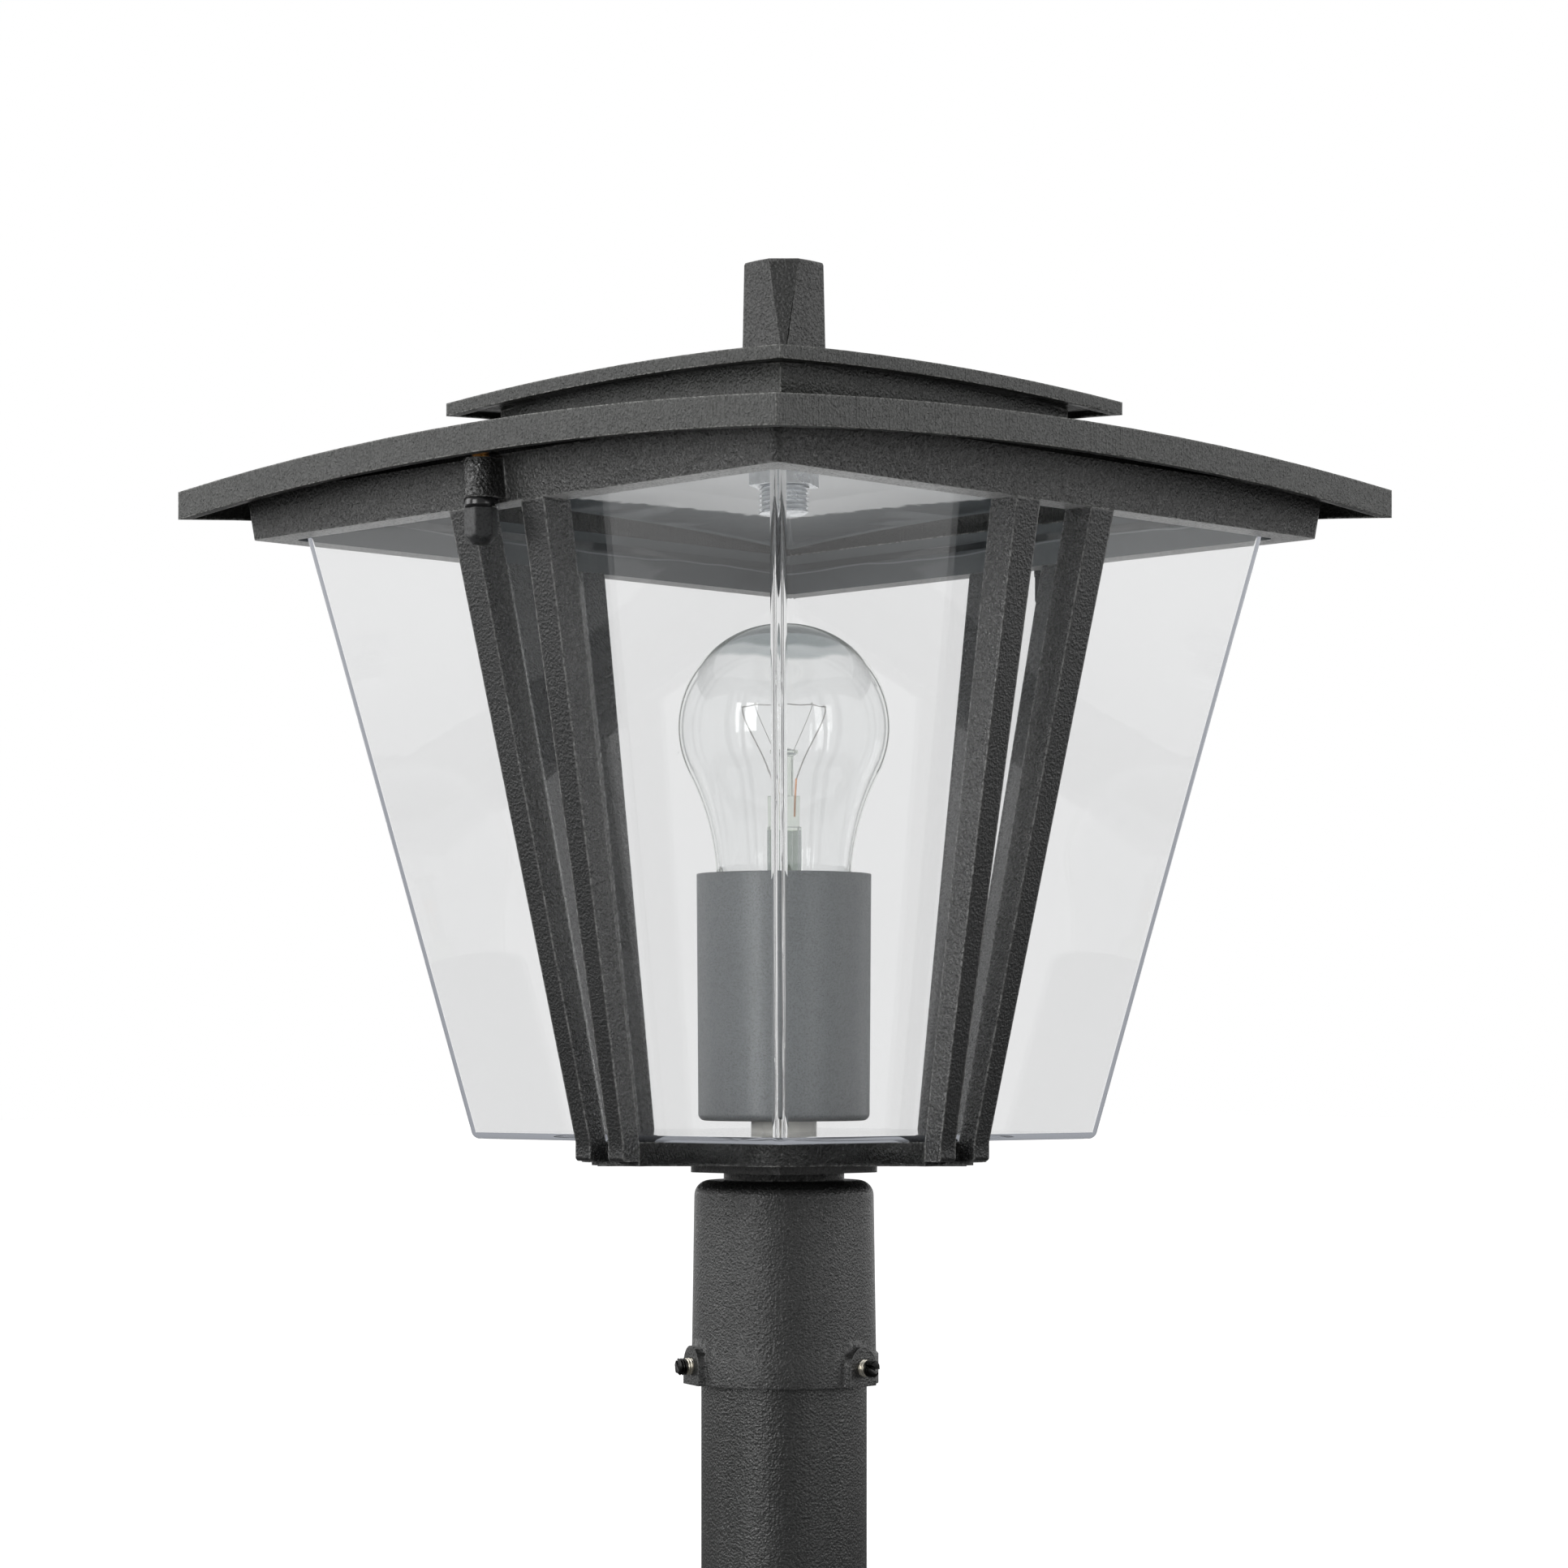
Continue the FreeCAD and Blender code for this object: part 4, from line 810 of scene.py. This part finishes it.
# %% Threaded rods
stem_low, stem_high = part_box("finial_stem")
stem_bm = bmesh.new()
thread(stem_bm, stem_high.x, depth=0.75 * MM, pitch=1.337 * MM, low=stem_low.z, high=stem_high.z,
       steps=28)
taper_end(stem_bm, stem_low.z, 0.90)
stem_piece = as_object("finial_stem_thread", stem_bm, zinc, ROD_CORNER)
stands_for(stem_piece, "finial_stem")

stud_low, stud_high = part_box("roof_studs")
stud_radius = stud_high.x
stud_reach = stud_high.y - stud_radius
stud_bm = bmesh.new()
thread(stud_bm, stud_radius, depth=0.42 * MM, pitch=0.8 * MM, low=stud_low.z, high=stud_high.z,
       steps=16)
taper_end(stud_bm, stud_low.z, 0.85)
front_verts = stud_bm.verts[:]
copied = bmesh.ops.duplicate(stud_bm, geom=front_verts + stud_bm.edges[:] + stud_bm.faces[:])
back_verts = [item for item in copied["geom"] if isinstance(item, bmesh.types.BMVert)]
bmesh.ops.translate(stud_bm, vec=(0, stud_reach, 0), verts=back_verts)
bmesh.ops.translate(stud_bm, vec=(0, -stud_reach, 0), verts=front_verts)
stud_piece = as_object("roof_stud_threads", stud_bm, brass, ROD_CORNER)
stands_for(stud_piece, "roof_studs")

nipple_low, nipple_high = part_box("holder_nipple")
nipple_bm = bmesh.new()
thread(nipple_bm, nipple_high.x, depth=0.5 * MM, pitch=1.0 * MM, low=nipple_low.z,
       high=nipple_high.z, steps=20)
nipple_piece = as_object("holder_nipple_thread", nipple_bm, zinc, ROD_CORNER)
stands_for(nipple_piece, "holder_nipple")
print("threads:", [len(rod.data.polygons) for rod in (stem_piece, stud_piece, nipple_piece)])

# %% [markdown]
# ## Set screws
# Three slotted grub screws stand out of the socket's pads. Each is a short threaded rod with a
# chamfered end. The driver's slot crosses the thread's turns, which no spun outline can give,
# so it is cut afterwards by a Boolean modifier, whose result is kept.

# %% Set screws
def cut_slot(piece, centre, size):
    """Cuts a box out of a piece and keeps the result as its mesh."""
    cutter_bm = bmesh.new()
    bmesh.ops.create_cube(cutter_bm, size=1.0)
    bmesh.ops.scale(cutter_bm, vec=size, verts=cutter_bm.verts)
    bmesh.ops.translate(cutter_bm, vec=centre, verts=cutter_bm.verts)
    cutter = as_object("slot_cutter", cutter_bm, screw_metal)
    modifier = piece.modifiers.new("slot", "BOOLEAN")
    modifier.object = cutter
    modifier.solver = "EXACT"
    ready = piece.evaluated_get(bpy.context.evaluated_depsgraph_get())
    cut_mesh = bpy.data.meshes.new_from_object(ready)
    piece.modifiers.clear()
    piece.data = cut_mesh
    bpy.data.objects.remove(cutter)


screw_radius = 2.45 * MM
screw_length = 8.6 * MM
screw_start = 24.3 * MM      # its inner end, from the post's axis
screw_height = 65.3 * MM
screw_angles = (7.5, 127.5, 247.5)
slot_size = (6 * MM, 1.1 * MM, 3.4 * MM)
slot_turn = 70               # each screw stopped at another turn of its slot
lie_down = Matrix.Rotation(math.radians(90), 4, "Y")
for number, angle in enumerate(screw_angles, 1):
    screw_bm = bmesh.new()
    thread(screw_bm, screw_radius, depth=0.4 * MM, pitch=0.8 * MM, low=0.0, high=screw_length,
           steps=20)
    taper_end(screw_bm, screw_length, 0.80)
    taper_end(screw_bm, 0.0, 0.75)
    screw = as_object("set_screw_thread_" + str(number), screw_bm, screw_metal, ROD_CORNER)
    cut_slot(screw, (0, 0, screw_length), slot_size)
    screw.data.transform(Matrix.Rotation(math.radians(slot_turn * number), 4, "Z"))
    spot = Matrix.Translation((screw_start, 0, screw_height))
    screw.data.transform(Matrix.Rotation(math.radians(angle), 4, "Z") @ spot @ lie_down)
    stands_for(screw, "set_screw_" + str(number))
    print("set screw", number, len(screw.data.polygons), "faces")

# %% [markdown]
# ## Rubber washers
# The washers under the bosses bulge a little where they are squeezed, and they shine. A
# cylinder with bevelled rims would have straight sides between them, so a rounded outline is
# spun round the axis instead.

# %% Washers
def spun_ring(bm, outline):
    """Closes an outline of (radius, height) points into a ring round Z."""
    points = [bm.verts.new((radius, 0, height)) for radius, height in outline]
    edges = [bm.edges.new(pair) for pair in zip(points, points[1:] + points[:1])]
    bmesh.ops.spin(bm, geom=points + edges, cent=(0, 0, 0), axis=(0, 0, 1), angle=math.tau,
                   steps=48, use_merge=True)
    bmesh.ops.recalc_face_normals(bm, faces=bm.faces)


washer_bulge = 0.35 * MM
washer_gap = 0.05 * MM       # between the washer's hole and the stud
for side in ("front", "back"):
    low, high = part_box("nut_washer_" + side)
    outer = (high.x - low.x) / 2
    inner = stud_radius + washer_gap
    tall = high.z - low.z
    flat = outer - washer_bulge
    shoulder = outer - 0.3 * washer_bulge
    washer_bm = bmesh.new()
    spun_ring(washer_bm, [(inner, low.z), (flat, low.z), (shoulder, low.z + 0.12 * tall),
                          (outer, low.z + 0.35 * tall), (outer, low.z + 0.65 * tall),
                          (shoulder, low.z + 0.88 * tall), (flat, high.z), (inner, high.z)])
    bmesh.ops.translate(washer_bm, vec=(0, (low.y + high.y) / 2, 0), verts=washer_bm.verts)
    washer = as_object("nut_washer_ring_" + side, washer_bm, washer_rubber, smooth_up_to=60.0)
    stands_for(washer, "nut_washer_" + side)
print("washers ready")

# %% [markdown]
# ## Wires in the lamp
# The wires are much finer than a solid model needs them to be. Each is a curve with a round
# section, which bends more evenly than a row of short tubes would. Two leads splay up from the
# press, three hooks rise from the glass button, and the filament runs over them. The leads are
# copper where they leave the press.

# %% Wire helpers
def polar(radius, degrees, height):
    """A point round the lamp's axis, from millimetres and degrees."""
    angle = math.radians(degrees)
    return Vector((radius * math.cos(angle), radius * math.sin(angle), height)) * MM


def wire(name, runs, thickness, material):
    """Round wires, each along one smooth line of points."""
    data = bpy.data.curves.new(name, "CURVE")
    data.dimensions = "3D"
    data.bevel_depth = thickness / 2
    data.bevel_resolution = 2
    data.resolution_u = 6
    data.use_fill_caps = True
    for run in runs:
        line = data.splines.new("NURBS")
        line.points.add(len(run) - 1)
        for point, spot in zip(line.points, run):
            point.co = (*spot, 1.0)
        line.order_u = 3
        line.use_endpoint_u = True
    data.materials.append(material)
    made = bpy.data.objects.new(name, data)
    bpy.context.scene.collection.objects.link(made)
    return made


press_top = 230.0            # heights and radii in the lamp are in millimetres
button_middle = 242.8
filament_height = 255.7
filament_ring = 11.5
print("filament at", filament_height, "mm")

# %% [markdown]
# The leads stand opposite each other, and their upper ends curl round the filament's ends. All
# three hooks stand on one side, so the filament makes half a circle.

# %% Leads, hooks and filament
lead_angle = 45.0
lead_runs = []
copper_runs = []
for angle in (lead_angle, lead_angle + 180):
    lead_runs.append([polar(2.9, angle, press_top + 5.0), polar(4.6, angle, press_top + 10.0),
                      polar(8.2, angle, press_top + 17.0),
                      polar(11.0, angle, filament_height - 3.0),
                      polar(filament_ring, angle, filament_height + 0.2),
                      polar(filament_ring - 0.8, angle - 2, filament_height + 0.3)])
    copper_runs.append([polar(2.4, angle, press_top - 6.0), polar(2.5, angle, press_top),
                        polar(2.9, angle, press_top + 5.2)])
leads = wire("lead_wire_runs", lead_runs, 0.42 * MM, wire_metal)
stands_for(leads, "lead_wires")
copper_leads = wire("lead_wire_roots", copper_runs, 0.6 * MM, copper)
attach(copper_leads, "lamp")

hook_angles = (-85.0, -45.0, -5.0)
hook_runs = []
for angle in hook_angles:
    hook_runs.append([polar(3.2, angle, button_middle), polar(5.5, angle, button_middle + 3.2),
                      polar(9.6, angle, filament_height - 4.0),
                      polar(filament_ring + 0.1, angle, filament_height - 0.6),
                      polar(filament_ring + 0.5, angle, filament_height + 0.3),
                      polar(filament_ring, angle, filament_height + 0.6),
                      polar(filament_ring - 0.4, angle, filament_height + 0.1)])
hooks = wire("support_hooks", hook_runs, 0.2 * MM, wire_metal)
stands_for(hooks, "support_wires")

filament_points = []
stops = [lead_angle] + sorted(hook_angles, reverse=True) + [lead_angle - 180]
for here, there in zip(stops, stops[1:]):
    filament_points.append(polar(filament_ring, here, filament_height + 0.1))
    filament_points.append(polar(filament_ring - 0.5, (here + there) / 2, filament_height - 0.35))
filament_points.append(polar(filament_ring, stops[-1], filament_height + 0.1))
filament = wire("filament_run", [filament_points], 0.3 * MM, wire_metal)
stands_for(filament, "filament")
print("lamp wires:", len(lead_runs) + len(hook_runs) + 1)

# %% [markdown]
# ## Floor and background
# The background is plain white. The floor is pale and takes the object's shadow. To the camera
# it also glows, less near the lantern, where the shadow lies, and further out as white as the
# background. Mirrored in the pieces it is dim at the lantern's foot and bright further out.

# %% Floor
FLOOR_TONE = (0.82, 0.82, 0.82)
FLOOR_TONE_FOR_LIGHT = (0.30, 0.30, 0.30)      # so that little light comes up from below

floor_bm = bmesh.new()
bmesh.ops.create_grid(floor_bm, x_segments=1, y_segments=1, size=8.0)
floor_material, floor_tree, floor_shader = new_finish(
    "floor", Roughness=0.9, Specular_IOR_Level=0.1, Emission_Color=(1, 1, 1, 1))
floor_rays = add_node(floor_tree, "ShaderNodeLightPath").outputs
reach = add_node(floor_tree, "ShaderNodeVectorMath", operation="LENGTH")
join(floor_tree, object_place(floor_tree), reach.inputs[0])
seen_glow = stepped(floor_tree, reach.outputs["Value"], 0.3, 1.4, 0.75, 1.0)
mirrored_glow = stepped(floor_tree, reach.outputs["Value"], 0.9, 2.3, 0.12, 0.95)
through_glass = floor_rays["Is Transmission Ray"]
feed(floor_tree, floor_shader,
     Base_Color=colour_mix(floor_tree, floor_rays["Is Diffuse Ray"], FLOOR_TONE,
                           FLOOR_TONE_FOR_LIGHT),
     Emission_Strength=times(floor_tree, floor_rays["Is Camera Ray"], seen_glow))
glow = feed(floor_tree, add_node(floor_tree, "ShaderNodeEmission"),
            Strength=math_node(floor_tree, "MAXIMUM", through_glass, mirrored_glow))
mirrored = math_node(floor_tree, "MAXIMUM", floor_rays["Is Glossy Ray"], through_glass)
join(floor_tree, shader_mix(floor_tree, mirrored, floor_shader.outputs[0], glow.outputs[0]),
     floor_tree.nodes["Material Output"].inputs["Surface"])
floor_material.cycles.emission_sampling = "NONE"
floor = as_object("floor", floor_bm, floor_material)
print("floor at height 0")

# %% [markdown]
# ## Light
# The lantern stands in a white studio: large soft boxes left and right, two more in front, a
# soft one above and behind, and a bright background. What looks into the camera's own side of
# the room is darker, which gives the dark coat its shape and the clear box its grey.

# %% World
FAR_SIDE, CAMERA_SIDE = 1.0, 0.42      # the background's level in reflections
ROOM_LIGHT = 0.13                      # its level as a light

world = bpy.data.worlds.new("studio")
bpy.context.scene.world = world
world.use_nodes = True
sky = world.node_tree
sky.nodes.clear()
rays = add_node(sky, "ShaderNodeLightPath").outputs
direction = add_node(sky, "ShaderNodeTexCoord")
towards = add_node(sky, "ShaderNodeVectorMath", operation="DOT_PRODUCT")
join(sky, direction.outputs["Generated"], towards.inputs[0])
towards.inputs[1].default_value = (math.sin(camera_turn), -math.cos(camera_turn), 0.0)
mirror_level = stepped(sky, towards.outputs["Value"], -0.25, 0.55, FAR_SIDE, CAMERA_SIDE)
not_mirrored = math_node(sky, "SUBTRACT", 1.0, rays["Is Glossy Ray"])
seen = math_node(sky, "MAXIMUM", rays["Is Camera Ray"], rays["Is Transmission Ray"])
unseen = plus(sky, times(sky, rays["Is Glossy Ray"], mirror_level),
              times(sky, not_mirrored, ROOM_LIGHT))
backdrop = feed(sky, add_node(sky, "ShaderNodeBackground"), Color=(1, 1, 1, 1),
                Strength=math_node(sky, "MAXIMUM", seen, unseen))
sky_out = add_node(sky, "ShaderNodeOutputWorld")
join(sky, backdrop.outputs[0], sky_out.inputs["Surface"])
print("world:", world.name)

# %% [markdown]
# The side boxes are hidden from what is seen through glass, because they would stand in the
# panes as white patches. Each box is aimed at the middle of the lantern.

# %% Soft boxes
AIM_HEIGHT = 0.22


def soft_box(name, turn, height, distance, size, power, through_glass=True):
    """An area light round the lantern; turn is in degrees from the camera, to the right."""
    data = bpy.data.lights.new(name, "AREA")
    data.shape = "RECTANGLE"
    data.size, data.size_y = size
    data.energy = power
    made = bpy.data.objects.new(name, data)
    bpy.context.scene.collection.objects.link(made)
    angle = camera_turn + math.radians(turn)
    made.location = (distance * math.sin(angle), -distance * math.cos(angle), height)
    away = made.location - Vector((0, 0, AIM_HEIGHT))
    made.rotation_euler = away.to_track_quat("Z", "Y").to_euler()
    made.visible_transmission = through_glass


soft_box("left box", turn=-88, height=0.66, distance=1.6, size=(0.9, 1.0), power=11.0,
         through_glass=False)
soft_box("right box", turn=88, height=0.66, distance=1.7, size=(0.9, 1.0), power=8.0,
         through_glass=False)
soft_box("front left box", turn=-40, height=0.45, distance=1.8, size=(0.8, 1.0), power=15.0)
soft_box("front right box", turn=42, height=0.45, distance=1.9, size=(0.7, 0.9), power=5.2)
soft_box("top box", turn=180, height=1.9, distance=0.4, size=(1.4, 1.4), power=2.5)
print("lights:", [light.name for light in bpy.data.lights])

# %% [markdown]
# ## Colour
# The picture uses the plain Standard view, so a colour renders about as it is written.

# %% Finish
bpy.context.scene.view_settings.view_transform = "Standard"
bpy.context.view_layer.update()
